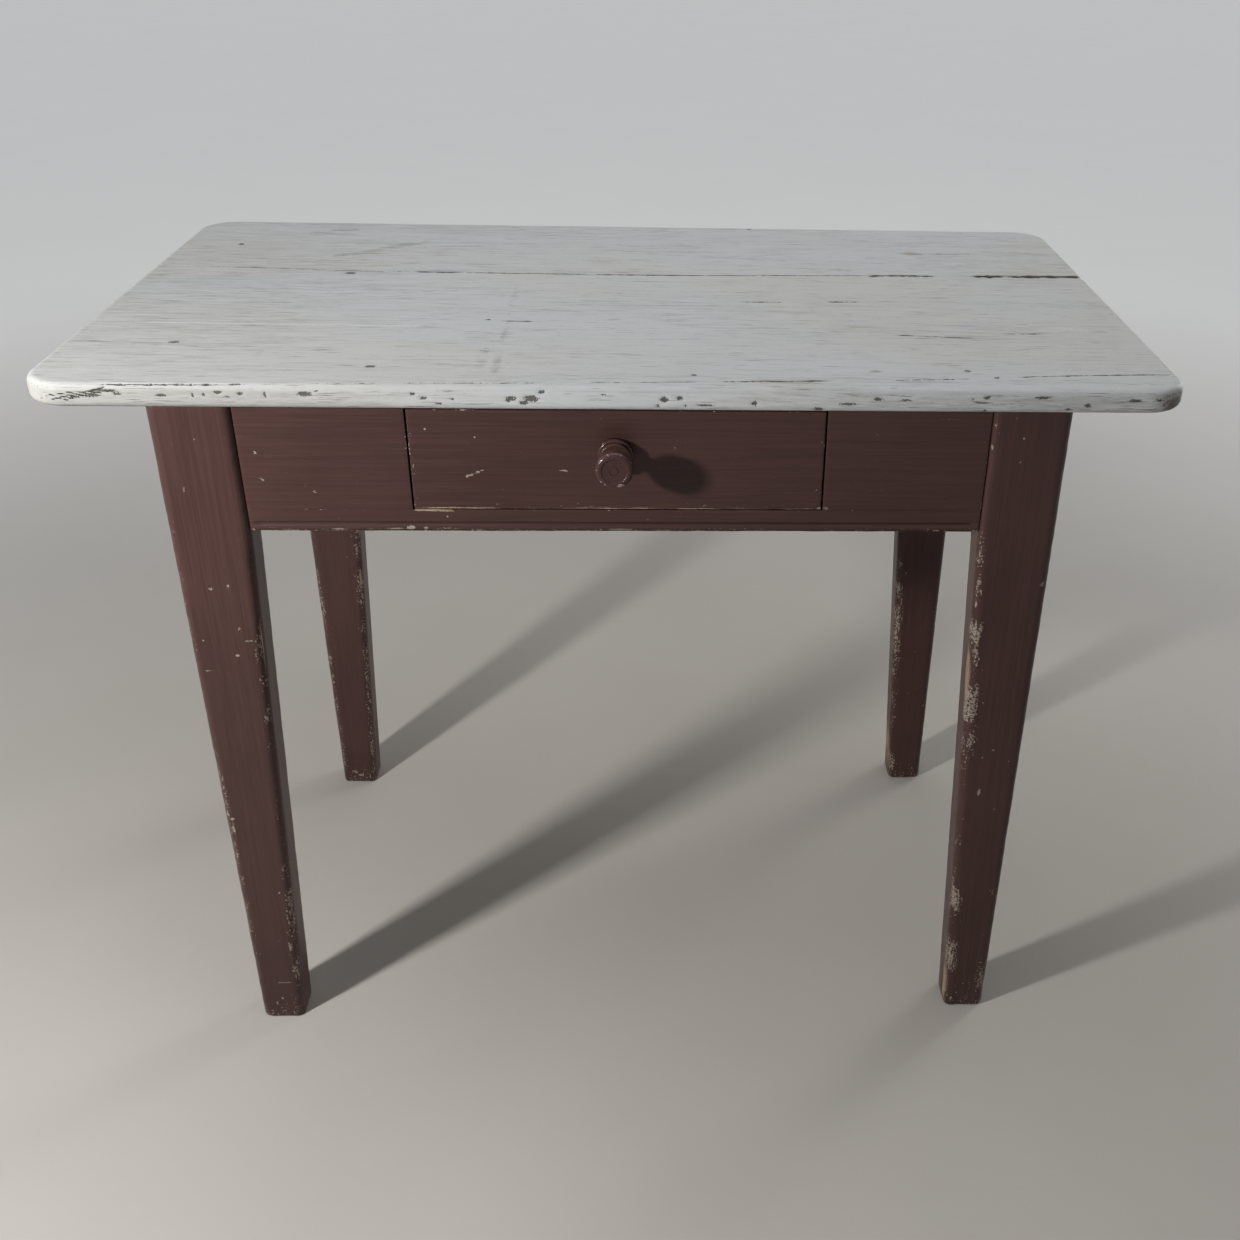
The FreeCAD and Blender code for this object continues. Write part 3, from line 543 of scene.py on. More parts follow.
# Splinters at the left end of the front edge: start and stop as (x, height under the top face), half width
SPLINTERS = (
    ((-0.492, 0.0145), (-0.446, 0.0035), 0.0010), ((-0.482, 0.0150), (-0.455, 0.0080), 0.0008),
    ((-0.475, 0.0125), (-0.440, 0.0060), 0.0008), ((-0.497, 0.0115), (-0.470, 0.0070), 0.0007),
)

# Smudges on the top: start, stop, half width, strength
SMUDGES = (
    ((-0.335, 0.150), (-0.290, 0.178), 0.007, 0.55), ((-0.300, 0.172), (-0.262, 0.205), 0.010, 0.65),
    ((-0.275, 0.186), (-0.245, 0.214), 0.007, 0.6), ((-0.330, 0.156), (-0.240, 0.168), 0.004, 0.45),
    ((-0.22, 0.196), (-0.15, 0.204), 0.003, 0.4), ((-0.362, 0.268), (-0.338, 0.270), 0.007, 0.7),
    ((0.405, 0.0945), (0.520, 0.098), 0.006, 0.85), ((0.280, 0.0925), (0.350, 0.0935), 0.004, 0.7),
    ((-0.33, 0.086), (-0.27, 0.085), 0.004, 0.7), ((-0.47, 0.100), (-0.38, 0.094), 0.003, 0.45),
)
RUB_PATCHES = (0.6, ((0.7, 0.025, 14),))

# How far marks reach down from the top face, and splinters into the front edge
MARK_DEPTH = 0.004
GREY_DEPTH = 0.006
SPLINTER_DEPTH = 0.008

# Swells of the top face: height, patches, and how they are drawn out along the board
SWELL_HEIGHT = 0.00012
SWELL_PATCHES = (1.0, ((0.6, 0.05, 3),))
SWELL_STRETCH = (0.25, 1, 1)

# Paint on the sides: heights under the top face and stretches of x over which it changes. The paler paint
# that grows to the right is partly the paint's own tone and partly painted light, and the grey wash to the
# left is painted shade; together they even out the key lamp's falloff along the edge
SIDE_DROP = (0.002, 0.007)
DARKER_LEFT_DROP = (0.001, 0.004)
PALE_AND_LIT_STRETCH = (-0.5, 0.35)
DARKER_LEFT_STRETCH = (-0.50, -0.10)
# The stretch of the left sides under the painted shade wash
PAINTED_SHADE_LEFT = (-0.45, 0.0)
GREY_RIGHT = (0.0, 0.25)
END_GRAIN = (0.030, 0.008)
WORN_CORNER = (0.511, -0.266, 0.753)
WORN_CORNER_STAIN = 0.9
WORN_CORNER_BARE = 0.46
WORN_CORNER_RADII = (0.021, 0.028, 0.017)

FRONT_LINES = (SPLIT, LOW_CRACK, STREAK, MIDDLE_CRACK, HIGH_CRACK)
BACK_LINES = (KNOT_CRACK,)
BOARD_MARKS = ("dark", "stain", "pale", "bare", "thin_paint_and_shade", "pale_paint_and_light", "rub", "end", "darker_left_sides")


def line_at(line, x):
    """The y of a line at each x, as a smooth curve through its points."""
    places, heights = zip(*line)
    near = [np.interp(x + step, places, heights) for step in LINE_STEPS]
    return sum(near) / len(near)


def ragged(x, parts, least, number=0):
    """A share near 1 that wavers along x."""
    parts = (weight * waves(x, length, seed + number) for weight, length, seed in parts)
    return np.maximum(sum(parts, 1.0), least)


def seam_opening(x):
    """Half the gap between the boards, and how dark it is, at each x."""
    opening = np.full_like(x, SEAM_SHUT)
    dark = np.full_like(x, SEAM_SHUT_DARK)
    uneven = ragged(x, SEAM_RAGGED, SEAM_LEAST)
    for start, stop, gap, shade in SEAM_STRETCHES:
        begun = smooth(start - SEAM_FADE, start + SEAM_FADE, x)
        inside = begun * (1 - smooth(stop - SEAM_FADE, stop + SEAM_FADE, x))
        opening = np.maximum(opening, inside * gap / 2 * uneven)
        dark = np.maximum(dark, inside * shade)
    return opening, dark


def spaced(width, low, high, step):
    """Places across a width: as far from its sides as low and high say, and a step apart between."""
    inner = np.arange(low[-1], width - high[-1], step)[1:]
    places = np.concatenate([[0], low, inner, width - np.array(high)[::-1]])
    return np.unique(places[(places >= 0) & (places < width)])


def row_shares(widths, edge_low, edge_high):
    """Places of rows between lines: a whole number on each line, shares between."""
    rows = []
    for index, width in enumerate(widths):
        low = EDGE_OFFSETS if edge_low and index == 0 else CRACK_OFFSETS
        high = EDGE_OFFSETS if edge_high and index == len(widths) - 1 else CRACK_OFFSETS
        rows.append(index + spaced(width, low, high, BOARD_ROW) / width)
    return np.concatenate(rows + [[len(widths)]])


def column_shares():
    """Places of columns along the board, as shares of its half length."""
    places = spaced(2 * HALF_LENGTH, EDGE_OFFSETS, EDGE_OFFSETS, BOARD_COLUMN)
    return np.append(places, 2 * HALF_LENGTH) / HALF_LENGTH - 1


def board_curves(x, is_front):
    """The y, at each x, of the lines that a board's rows follow, from its front to its back."""
    opening = seam_opening(x)[0]
    inner = [line_at(line, x) for line in (FRONT_LINES if is_front else BACK_LINES)]
    if is_front:
        return np.array([np.full_like(x, FRONT_Y), *inner, line_at(SEAM, x) - opening])
    return np.array([line_at(SEAM, x) + opening, *inner, np.full_like(x, BACK_Y)])


def board_grid(is_front):
    """x and y of a board's grid, row by row, and the distances to its ends, its edge and the seam."""
    columns = column_shares()
    curves = board_curves(columns * HALF_LENGTH, is_front)
    widths = np.diff(curves, axis=0).mean(axis=1)
    rows = row_shares(widths, is_front, not is_front)
    low = np.minimum(rows.astype(int), len(curves) - 2)
    share = (rows - low)[:, None]
    y = curves[low] * (1 - share) + curves[low + 1] * share
    outer = y - FRONT_Y if is_front else BACK_Y - y
    seam = np.abs(y - (curves[-1] if is_front else curves[0]))
    half = np.empty_like(y)
    for side in SIDES.values():
        here = columns > 0 if side > 0 else columns <= 0
        reach = HALF_LENGTH - round_drop(outer[:, here], CORNER)
        half[:, here] = np.minimum(reach, HALF_LENGTH - round_drop(seam[:, here], SEAM_CORNERS[side]))
    x = columns * half
    return x, y, half - np.abs(x), outer, seam


def board_faces(row_count, column_count, ring_count):
    """Faces of a board's grid and of the rings round its side, the points of its rim, and its underside."""
    index = np.arange(row_count * column_count).reshape(row_count, column_count)
    faces = np.stack([index[:-1, :-1], index[:-1, 1:], index[1:, 1:], index[1:, :-1]], axis=-1)
    faces = faces.reshape(-1, 4).tolist()
    loop = np.concatenate([index[0, :-1], index[:-1, -1], index[-1, :0:-1], index[:0:-1, 0]])
    rings = [loop] + [index.size + ring * len(loop) + np.arange(len(loop)) for ring in range(ring_count)]
    for upper, lower in zip(rings[:-1], rings[1:]):
        faces += np.stack([upper, lower, np.roll(lower, -1), np.roll(upper, -1)], axis=-1).tolist()
    last = np.append(rings[-1], rings[-1][0])
    across, deep = column_count - 1, row_count - 1
    front, right = last[:across + 1], last[across:across + deep + 1]
    back, left = last[across + deep:2 * across + deep + 1][::-1], last[2 * across + deep:]
    under = np.stack([front[:-1], back[:-1], back[1:], front[1:]], axis=-1).tolist()
    return faces, loop, under + [right[::-1].tolist(), left[::-1].tolist()]


def paint_cracks(x, y):
    """How deep and how dark the cracks are at each point of a grid."""
    depth, dark = np.zeros_like(x), np.zeros_like(x)
    for number, (line, start, stop, half, deep, shade) in enumerate(CRACKS):
        ends = smooth(start, start + CRACK_FADE, x) * (1 - smooth(stop - CRACK_FADE, stop, x))
        away = np.abs(y - line_at(line, x)) / (half * ragged(x, CRACK_RAGGED, CRACK_LEAST, number))
        depth = np.maximum(depth, deep * ends * np.clip(1 - away ** 2, 0, 1))
        dark = np.maximum(dark, shade * ends * np.clip(CRACK_DARK - CRACK_DARK_FALL * away ** 2, 0, 1))
    return depth, dark


def board_top(is_front):
    """The worn upper face of a board, as a grid of points, and how dark its cracks are."""
    x, y, to_end, outer, seam = board_grid(is_front)
    straight = HALF_LENGTH - CORNER
    in_corner = (np.abs(x) > straight) & (outer < CORNER)
    corner = CORNER - np.hypot(np.abs(x) - straight, CORNER - outer)
    inside = np.where(in_corner, corner, np.minimum(outer, to_end))
    opening, seam_dark = seam_opening(x)
    depth, dark = paint_cracks(x, y)
    level = np.stack([x, y, np.zeros_like(x)], axis=-1).reshape(-1, 3)
    swell = SWELL_HEIGHT * patchy(level * SWELL_STRETCH, *SWELL_PATCHES, most=np.inf)
    rounding = round_drop(seam, SEAM_ROUND + SEAM_ROUND_GROWTH * opening)
    drop = np.maximum(round_drop(np.maximum(inside, 0), EDGE), rounding)
    z = TOP_Z - drop - depth - swell.reshape(x.shape)
    dirt = SEAM_DIRT_MOST - seam / (SEAM_DIRT + SEAM_DIRT_GROWTH * opening)
    dark = np.maximum(dark, seam_dark * np.clip(dirt, 0, 1))
    return np.stack([x, y, z], axis=-1), dark


def board_sides(rim, is_front):
    """Rings of points from the rim of a board down its side and round to its underside."""
    ahead = np.roll(rim, -1, axis=0)[:, :2] - np.roll(rim, 1, axis=0)[:, :2]
    inward = np.stack([-ahead[:, 1], ahead[:, 0]], axis=1)
    inward /= np.maximum(np.linalg.norm(inward, axis=1), NO_LENGTH)[:, None]
    faces_seam = np.abs(inward[:, 1] - (-1 if is_front else 1)) < SEAM_FACING
    near_seam = np.abs(rim[:, 1] - line_at(SEAM, rim[:, 0])) < SEAM_NEAR
    rounding = np.where(faces_seam & near_seam, SEAM_ROUND, EDGE)
    rings = []
    for share in np.linspace(0, 1, BAND_LEVELS + 1)[1:]:
        ring = rim.copy()
        ring[:, 2] = rim[:, 2] * (1 - share) + (UNDER_Z + rounding) * share
        rings.append(ring)
    for angle in np.linspace(0, QUARTER, ROUND_STEPS + 1)[1:]:
        ring = rim.copy()
        ring[:, :2] += inward * (rounding * (1 - math.cos(angle)))[:, None]
        ring[:, 2] = UNDER_Z + rounding * (1 - math.sin(angle))
        rings.append(ring)
    return rings


def seam_spots():
    """Small places along the open stretches of the seam where the paint is gone."""
    draw = np.random.default_rng(SEAM_SPOT_SEED)
    spots = []
    for start, stop in SEAM_OPEN:
        for x in np.arange(start, stop, SEAM_SPOT_STEP):
            place = x + draw.uniform(0, SEAM_SPOT_STEP)
            away = draw.uniform(*SEAM_SPOT_AWAY) * draw.choice((-1, 1))
            y = float(line_at(SEAM, np.array([place]))[0])
            spots.append((place, y + away, draw.uniform(*SEAM_SPOT_LONG), draw.uniform(*SEAM_SPOT_WIDE)))
    return tuple(spots)


def chip_list():
    """The chips in the front edge, and small ones scattered round the whole edge: place and radii."""
    chips = [((x, FRONT_Y, TOP_Z - drop), (half, CHIP_REACH, tall)) for x, drop, half, tall in EDGE_CHIPS]
    draw = np.random.default_rng(LOOSE_CHIP_SEED)
    for _ in range(LOOSE_CHIPS):
        x, y = draw.uniform(-HALF_LENGTH, HALF_LENGTH), draw.uniform(FRONT_Y, BACK_Y)
        places = ((x, FRONT_Y), (x, BACK_Y), (x, FRONT_Y), (-HALF_LENGTH, y), (HALF_LENGTH, y))
        side = draw.integers(0, len(places))
        size = draw.uniform(*LOOSE_CHIP_SIZE)
        long = size * draw.uniform(*LOOSE_CHIP_STRETCH)
        radii = (long, LOOSE_CHIP_REACH, size) if side < 3 else (LOOSE_CHIP_REACH, long, size)
        chips.append(((*places[side], TOP_Z - draw.uniform(*LOOSE_CHIP_DROP)), radii))
    return chips


def chip_edges(points, marks):
    """Bares the chips and presses them in, towards the middle of the top."""
    middle = np.array([0, (FRONT_Y + BACK_Y) / 2, TOP_Z])
    for place, radii in chip_list():
        hit = spot(points, place, radii)
        lift(marks, "bare", hit)
        pull = (middle - points) * (1, 1, 0)
        pull[:, 0] *= np.abs(pull[:, 0]) > abs(middle[1] - FRONT_Y) * CHIP_END
        pull /= np.maximum(np.linalg.norm(pull, axis=1), NO_LENGTH)[:, None]
        points += pull * (CHIP_DEPTH * np.sqrt(hit))[:, None]


def paint_top(points, marks):
    """Spots, stains, greyed areas, scratches, rub marks and splinters."""
    bare_spots = [(*place, 1.0) for place in DARK_SPOTS + seam_spots()]
    for name, spots, depth in (("bare", bare_spots, MARK_DEPTH), ("stain", STAIN_SPOTS, MARK_DEPTH),
                               ("thin_paint_and_shade", GREY_AREAS, GREY_DEPTH)):
        for x, y, long, wide, strength in spots:
            lift(marks, name, strength * spot(points, (x, y, TOP_Z), (long, wide, depth)))
    patches = patchy(points, *RUB_PATCHES)
    for name, strokes, cover in (("rub", SMUDGES, 1), ("pale", PALE_LINES, 1), ("rub", RUB_MARKS, patches)):
        for start, stop, wide, strength in strokes:
            line = stroke(points, (*start, TOP_Z), (*stop, TOP_Z), (wide, wide, MARK_DEPTH))
            lift(marks, name, strength * cover * line)
    for start, stop, wide in SPLINTERS:
        ends = [(x, FRONT_Y, TOP_Z - drop) for x, drop in (start, stop)]
        lift(marks, "dark", stroke(points, *ends, (wide, SPLINTER_DEPTH, wide)))


def paint_sides(points, marks):
    """Paler paint to the right, partly painted light; darker paint to the left; a painted shade wash of
    grey to the left and greyed streaks to the right; and a worn corner.
    """
    x, drop = points[:, 0], TOP_Z - points[:, 2]
    side = smooth(*SIDE_DROP, drop)
    # Paler paint to the right: partly the paint's own tone, partly painted light where the key lamp falls
    # off
    lift(marks, "pale_paint_and_light", side * smooth(*PALE_AND_LIT_STRETCH, x))
    # Darker paint on the sides, to the left
    lift(marks, "darker_left_sides", smooth(*DARKER_LEFT_DROP, drop) * (1 - smooth(*DARKER_LEFT_STRETCH, x)))
    # A grey wash on the left sides: painted shade that dims the key lamp's strong light on the left end
    lift(marks, "thin_paint_and_shade", side * (1 - smooth(*PAINTED_SHADE_LEFT, x)))
    lift(marks, "thin_paint_and_shade", side * smooth(*GREY_RIGHT, x))
    lift(marks, "end", side * smooth(*END_GRAIN, HALF_LENGTH - np.abs(x)))
    worn = spot(points, WORN_CORNER, WORN_CORNER_RADII)
    lift(marks, "stain", worn * WORN_CORNER_STAIN)
    lift(marks, "bare", worn * WORN_CORNER_BARE)


def make_board(name, node, is_front):
    grid, dark = board_top(is_front)
    faces, loop, under = board_faces(*dark.shape, BAND_LEVELS + ROUND_STEPS)
    top = grid.reshape(-1, 3)
    points = np.concatenate([top] + board_sides(top[loop], is_front))
    marks = {mark: np.zeros(len(points)) for mark in BOARD_MARKS}
    marks["dark"][:len(top)] = dark.reshape(-1)
    chip_edges(points, marks)
    paint_top(points, marks)
    paint_sides(points, marks)
    kinds = [0] * len(faces) + [1] * len(under)
    add_piece(name, points, faces, under, [WHITE, WOOD["x"]], kinds, "table", [node], marks)


make_board("worn_board_front", "top_board_front", True)
make_board("worn_board_back", "top_board_back", False)


# Bars: legs, aprons, rail and drawer front

CORNER_STEPS = 4
BUTT_ROUND = 0.0003
BAR_MARKS = ("chip", "worn", "scuff")
# How far from an arris its paint is rubbed
RUB_REACH = 0.0022
# A face looks along an axis when the directions of two of its points add up to more than this
FACING = 1.9
# How dents vary along an arris: base, weight of the cloud, most
WEAR_BASE = 0.45
WEAR_SWING = 0.7
WEAR_MOST = 1.6


def loop_plan(shares_u, shares_v):
    """Corner signs and outward directions of the points of a rounded rectangle, going round it."""
    corners = ((1, -1), (1, 1), (-1, 1), (-1, -1))
    plan = []
    for number, (sign_u, sign_v) in enumerate(corners):
        start = (number - 1) * QUARTER
        for angle in start + np.linspace(0, QUARTER, CORNER_STEPS + 1):
            plan.append((sign_u, sign_v, math.cos(angle), math.sin(angle)))
        next_u, next_v = corners[(number + 1) % 4]
        facing = start + QUARTER
        shares = np.array(shares_v if number % 2 == 0 else shares_u)
        for share in (shares if number < 2 else 1 - shares[::-1]):
            plan.append((sign_u + (next_u - sign_u) * share, sign_v + (next_v - sign_v) * share,
                         math.cos(facing), math.sin(facing)))
    plan = np.array(plan)
    return plan[:, :2], plan[:, 2:]


class Bar:
    """A dense bar in a box, long along one axis, with rounded arrises.

    Where its far end butts against another piece, that end is square and isn't worn.
    """

    def __init__(self, low, high, axis, arris, spacing, step, end_round=None, narrow=None, fine_v=None,
                 butts=False):
        end_round = arris if end_round is None else end_round
        far_round = BUTT_ROUND if butts else end_round
        self.axis = "xyz".index(axis)
        across = [(self.axis + 1) % 3, (self.axis + 2) % 3]
        start, stop = low[self.axis], high[self.axis]
        quarter = np.linspace(0, QUARTER, CORNER_STEPS + 1)[:-1]
        rise, inset = 1 - np.cos(quarter), 1 - np.sin(quarter)
        inner = np.linspace(start + end_round, stop - far_round, max(2, math.ceil((stop - start) / step)))
        places = np.concatenate([start + end_round * rise, inner, (stop - far_round * rise)[::-1]])
        insets = np.concatenate([end_round * inset, np.zeros(len(inner)), (far_round * inset)[::-1]])
        lows, highs = (np.array([[[end[one] for one in across]]] * len(places)) for end in (low, high))
        if narrow:
            narrow(places, lows, highs)
        counts = [max(2, round((high[one] - low[one]) / spacing)) for one in across]
        shares_u, shares_v = (np.linspace(0, 1, count + 1)[1:-1] for count in counts)
        signs, outward = loop_plan(shares_u, shares_v if fine_v is None else fine_v)
        shrink = (arris - insets)[:, None, None]
        section = (lows + highs) / 2 + signs * ((highs - lows) / 2 - arris) + outward * shrink
        points = np.empty((*section.shape[:2], 3))
        points[..., across] = section
        points[..., self.axis] = places[:, None]
        normals = np.zeros_like(points)
        normals[..., across] = outward
        at = points[..., [self.axis]]
        gaps = [section - lows, highs - section, at - start] + ([] if butts else [stop - at])
        self.edge = np.sort(np.concatenate(gaps, axis=-1), axis=-1)[..., 1].reshape(-1)
        self.points, self.normals = points.reshape(-1, 3), normals.reshape(-1, 3)
        self.shape = section.shape[:2]
        self.marks = {name: np.zeros(len(self.points)) for name in BAR_MARKS}

    def faces(self):
        index = np.arange(len(self.points)).reshape(self.shape)
        after = np.roll(index, -1, axis=1)
        sides = np.stack([index[:-1], after[:-1], after[1:], index[1:]], axis=-1).reshape(-1, 4).tolist()
        return sides, [index[0, ::-1].tolist(), index[-1].tolist()]

    def wear(self, depth, reach, size, seed):
        """Rounds and dents the arrises unevenly."""
        near = np.exp(-self.edge / reach)
        dents = patchy(self.points, WEAR_BASE, ((WEAR_SWING, size, seed),), most=WEAR_MOST)
        self.points -= self.normals * (depth * near * dents)[:, None]

    def mark(self, name, values):
        lift(self.marks, name, values)

    def add(self, name, nodes, body="table", bare_side=None):
        sides, caps = self.faces()
        kinds = np.zeros(len(sides) + len(caps), int)
        if bare_side is not None:
            axis, sign = bare_side
            facing = self.normals[[face[0] for face in sides]] + self.normals[[face[1] for face in sides]]
            kinds[:len(sides)] = facing[:, axis] * sign > FACING
        marks = dict(self.marks, edge=np.exp(-self.edge / RUB_REACH))
        axis = "xyz"[self.axis]
        add_piece(name, self.points, sides, caps, [BROWN[axis], WOOD[axis]], kinds.tolist(), body, nodes,
                  marks)


def paint_chips(bar, chips, face_y, reach, strength=1.0):
    """Chips in a face at the given y: x, z, half width, half height."""
    for x, z, wide, tall in chips:
        bar.mark("chip", strength * spot(bar.points, (x, face_y, z), (wide, reach, tall)))


# Legs

LEG_ARRIS = 0.008
FOOT_WIDTH = 0.046
FOOT_ROUND = 0.003
LEG_SPACING = {"front": 0.0030, "back": 0.0045}
LEG_STEP = {"front": 0.0034, "back": 0.005}

# Chips on the front faces of the legs: x, z, half width, half height
LEG_CHIPS = {
    "front_left": (
        (-0.378, 0.716, 0.003, 0.003), (-0.396, 0.667, 0.003, 0.003), (-0.372, 0.566, 0.0035, 0.004),
        (-0.388, 0.563, 0.003, 0.002), (-0.361, 0.507, 0.006, 0.0025), (-0.368, 0.518, 0.002, 0.005),
        (-0.374, 0.489, 0.004, 0.003), (-0.404, 0.473, 0.009, 0.0016), (-0.410, 0.288, 0.004, 0.004),
        (-0.411, 0.275, 0.003, 0.012), (-0.3755, 0.186, 0.002, 0.003), (-0.374, 0.108, 0.003, 0.010),
        (-0.39, 0.053, 0.022, 0.0018), (-0.40, 0.022, 0.002, 0.003), (-0.393, 0.03, 0.002, 0.003),
    ),
    "front_right": (
        (0.348, 0.595, 0.003, 0.002), (0.380, 0.616, 0.005, 0.002), (0.412, 0.568, 0.003, 0.006),
        (0.377, 0.361, 0.003, 0.003), (0.387, 0.370, 0.002, 0.002), (0.378, 0.315, 0.0025, 0.010),
        (0.379, 0.013, 0.004, 0.005), (0.346, 0.735, 0.003, 0.004), (0.345, 0.712, 0.003, 0.005),
        (0.349, 0.570, 0.003, 0.007), (0.349, 0.545, 0.003, 0.008), (0.402, 0.137, 0.004, 0.0016),
        (0.408, 0.124, 0.003, 0.0016),
    ),
    "back_left": (
        (-0.400, 0.020, 0.008, 0.004), (-0.386, 0.021, 0.009, 0.003), (-0.392, 0.012, 0.006, 0.003),
        (-0.360, 0.228, 0.002, 0.006),
    ),
    "back_right": ((0.357, 0.31, 0.002, 0.006), (0.36, 0.22, 0.002, 0.005)),
}
# Scuffs down the arrises of the front faces: arris, top, bottom, reach, strength
LEG_SCUFFS = {
    "front_left": (
        ("inner", 0.60, 0.53, 0.006, 0.5), ("inner", 0.53, 0.37, 0.010, 0.8),
        ("inner", 0.36, 0.22, 0.005, 0.5), ("inner", 0.22, 0.03, 0.012, 0.9),
        ("outer", 0.60, 0.46, 0.006, 0.6), ("outer", 0.46, 0.02, 0.010, 0.8),
    ),
    "front_right": (
        ("inner", 0.745, 0.69, 0.006, 0.8), ("inner", 0.68, 0.62, 0.003, 0.4),
        ("inner", 0.62, 0.52, 0.009, 1.0), ("inner", 0.52, 0.37, 0.016, 1.8),
        ("inner", 0.37, 0.22, 0.008, 0.6), ("inner", 0.20, 0.01, 0.017, 1.0),
        ("outer", 0.57, 0.52, 0.005, 0.7), ("outer", 0.30, 0.18, 0.004, 0.5),
        ("outer", 0.17, 0.01, 0.018, 1.0),
    ),
    "back_left": (
        ("inner", 0.62, 0.30, 0.013, 1.0), ("inner", 0.30, 0.02, 0.009, 0.85),
        ("outer", 0.62, 0.02, 0.010, 0.85),
    ),
    "back_right": (
        ("inner", 0.60, 0.35, 0.006, 0.6), ("inner", 0.36, 0.01, 0.014, 1.0),
        ("outer", 0.30, 0.02, 0.006, 0.7),
    ),
}
LEG_CHIP_STRENGTH = 0.86
LEG_CHIP_REACH = 0.007
LEG_WORN_DEPTH = 0.0012
FOOT_SCUFF = 0.05
ARRIS_SCUFF = 0.004
SCUFF_STRENGTH = 0.55
# What breaks up the scuffs: base, and clouds as (weight, size, seed)
ARRIS_PATCHES = (0.4, ((0.6, 0.08, 90),))
SCUFF_PATCHES = (0.55, ((0.45, 0.030, 30), (0.40, 0.16, 34)))
# Wear of the arrises: depth, reach, size of the dents, seed
LEG_WEAR = ((0.0008, 0.004, 0.05, 40), (0.0007, 0.003, 0.012, 50))
# Places worn to the wood: x, y, z and radii
LEG_WORN = {
    "front_left": ((-0.348, -0.268, 0.47, 0.004, 0.006, 0.07),),
    "front_right": (
        (0.349, -0.264, 0.455, 0.006, 0.012, 0.05), (0.3475, -0.264, 0.40, 0.004, 0.010, 0.04),
        (0.361, -0.266, 0.15, 0.005, 0.008, 0.05), (0.370, -0.262, 0.03, 0.006, 0.012, 0.04),
    ),
    "back_left": ((-0.362, 0.176, 0.10, 0.005, 0.008, 0.08),),
    "back_right": ((0.360, 0.192, 0.10, 0.008, 0.030, 0.085), (0.366, 0.192, 0.04, 0.008, 0.030, 0.05)),
}


def leg_taper(z):
    """How much narrower a leg is at a height than under the top."""
    return (LEG_OUTER - LEG_INNER - FOOT_WIDTH) * np.clip(1 - z / RAIL_BOTTOM, 0, 1)


def scuff_leg(bar, scuffs, side, face_y, seed):
    """Broken scuffs down the arrises, at the foot and in patches all round."""
    broken = patchy(bar.points, *SCUFF_PATCHES, number=seed)
    for arris, top, bottom, reach, strength in scuffs:
        ends = [(side * (LEG_OUTER if arris == "outer" else LEG_INNER + leg_taper(z)), face_y, z)
                for z in (top, bottom)]
        bar.mark("scuff", strength * stroke(bar.points, *ends, (reach, reach, reach)) * broken)
    bar.mark("scuff", SCUFF_STRENGTH * np.clip(1 - bar.points[:, 2] / FOOT_SCUFF, 0, 1))
    patches = patchy(bar.points, *ARRIS_PATCHES, number=seed)
    bar.mark("scuff", SCUFF_STRENGTH * patches * np.exp(-bar.edge / ARRIS_SCUFF))


def make_leg(row, word):
    key = f"{row}_{word}"
    node = "leg_" + key
    low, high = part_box(node)
    side, seed = SIDES[word], list(LEG_CHIPS).index(key)

    def narrow(z, lows, highs):
        inner = highs if side < 0 else lows
        inner[:, 0, 0] += side * leg_taper(z)

    bar = Bar(low, high, "z", LEG_ARRIS, LEG_SPACING[row], LEG_STEP[row], FOOT_ROUND, narrow,
              butts=True)
    paint_chips(bar, LEG_CHIPS[key], low.y, LEG_CHIP_REACH, LEG_CHIP_STRENGTH)
    for place in LEG_WORN[key]:
        hit = spot(bar.points, place[:3], place[3:])
        bar.mark("worn", hit)
        bar.points -= bar.normals * (LEG_WORN_DEPTH * hit)[:, None]
    scuff_leg(bar, LEG_SCUFFS[key], side, low.y, seed)
    for depth, reach, size, first in LEG_WEAR:
        bar.wear(depth, reach, size, first + seed)
    bar.add("painted_" + node, [node])


for row_word in ("front", "back"):
    for side_word in SIDES:
        make_leg(row_word, side_word)


# Aprons and rail

BEAD_HEIGHT = 0.0070
BEAD_FALL = 0.0016
GROOVE_MIDDLE = 0.0084
GROOVE_HALF = 0.0013
GROOVE_DEPTH = 0.0026
BEAD_STOP = (0.0048, 0.008)
BEAD_ROWS = 34
ROW_MARGIN = 0.01
FRONT_FACING = -0.5
FACE_CHIP_REACH = 0.005
RAIL_SCUFF = 0.6
RAIL_SCUFF_RADII = (0.004, 0.004, 0.004)
# Where the rail's upper edge is worn, along x, how much, and how far the wear reaches
RAIL_WORN_STRETCH = (-0.19, -0.155)
RAIL_WORN = 0.8
RAIL_WORN_RADII = (0.002, 0.003, 0.002)
# Wear of the arrises: depth, reach, size of the dents, seed
RAIL_WEAR = (0.0003, 0.002, 0.03, 61)
BACK_WEAR = (0.0004, 0.003, 0.05, 62)
SIDE_WEAR = (0.0004, 0.003, 0.05, 63)
# Arris, spacing and step of the aprons in front, and at the back and the sides
FRONT_SIZES = (0.0004, 0.003, 0.0035)
PLAIN_SIZES = (0.0012, 0.005, 0.006)
SIDE_ENDS = {"low_y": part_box("leg_front_left")[1].y, "high_y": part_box("leg_back_left")[0].y}

# Chips in the front: x, z, half width, half height
APRON_CHIPS = (
    (-0.328, 0.702, 0.002, 0.002), (-0.326, 0.676, 0.003, 0.0015), (-0.279, 0.664, 0.0025, 0.002),
    (-0.27, 0.663, 0.009, 0.0008), (-0.195, 0.627, 0.006, 0.003), (-0.18, 0.627, 0.003, 0.002),
    (-0.262, 0.6255, 0.009, 0.0012), (-0.21, 0.626, 0.012, 0.001), (0.238, 0.722, 0.003, 0.002),
    (-0.262, 0.638, 0.005, 0.001), (0.0, 0.6255, 0.02, 0.0008), (0.194, 0.648, 0.003, 0.004),
)


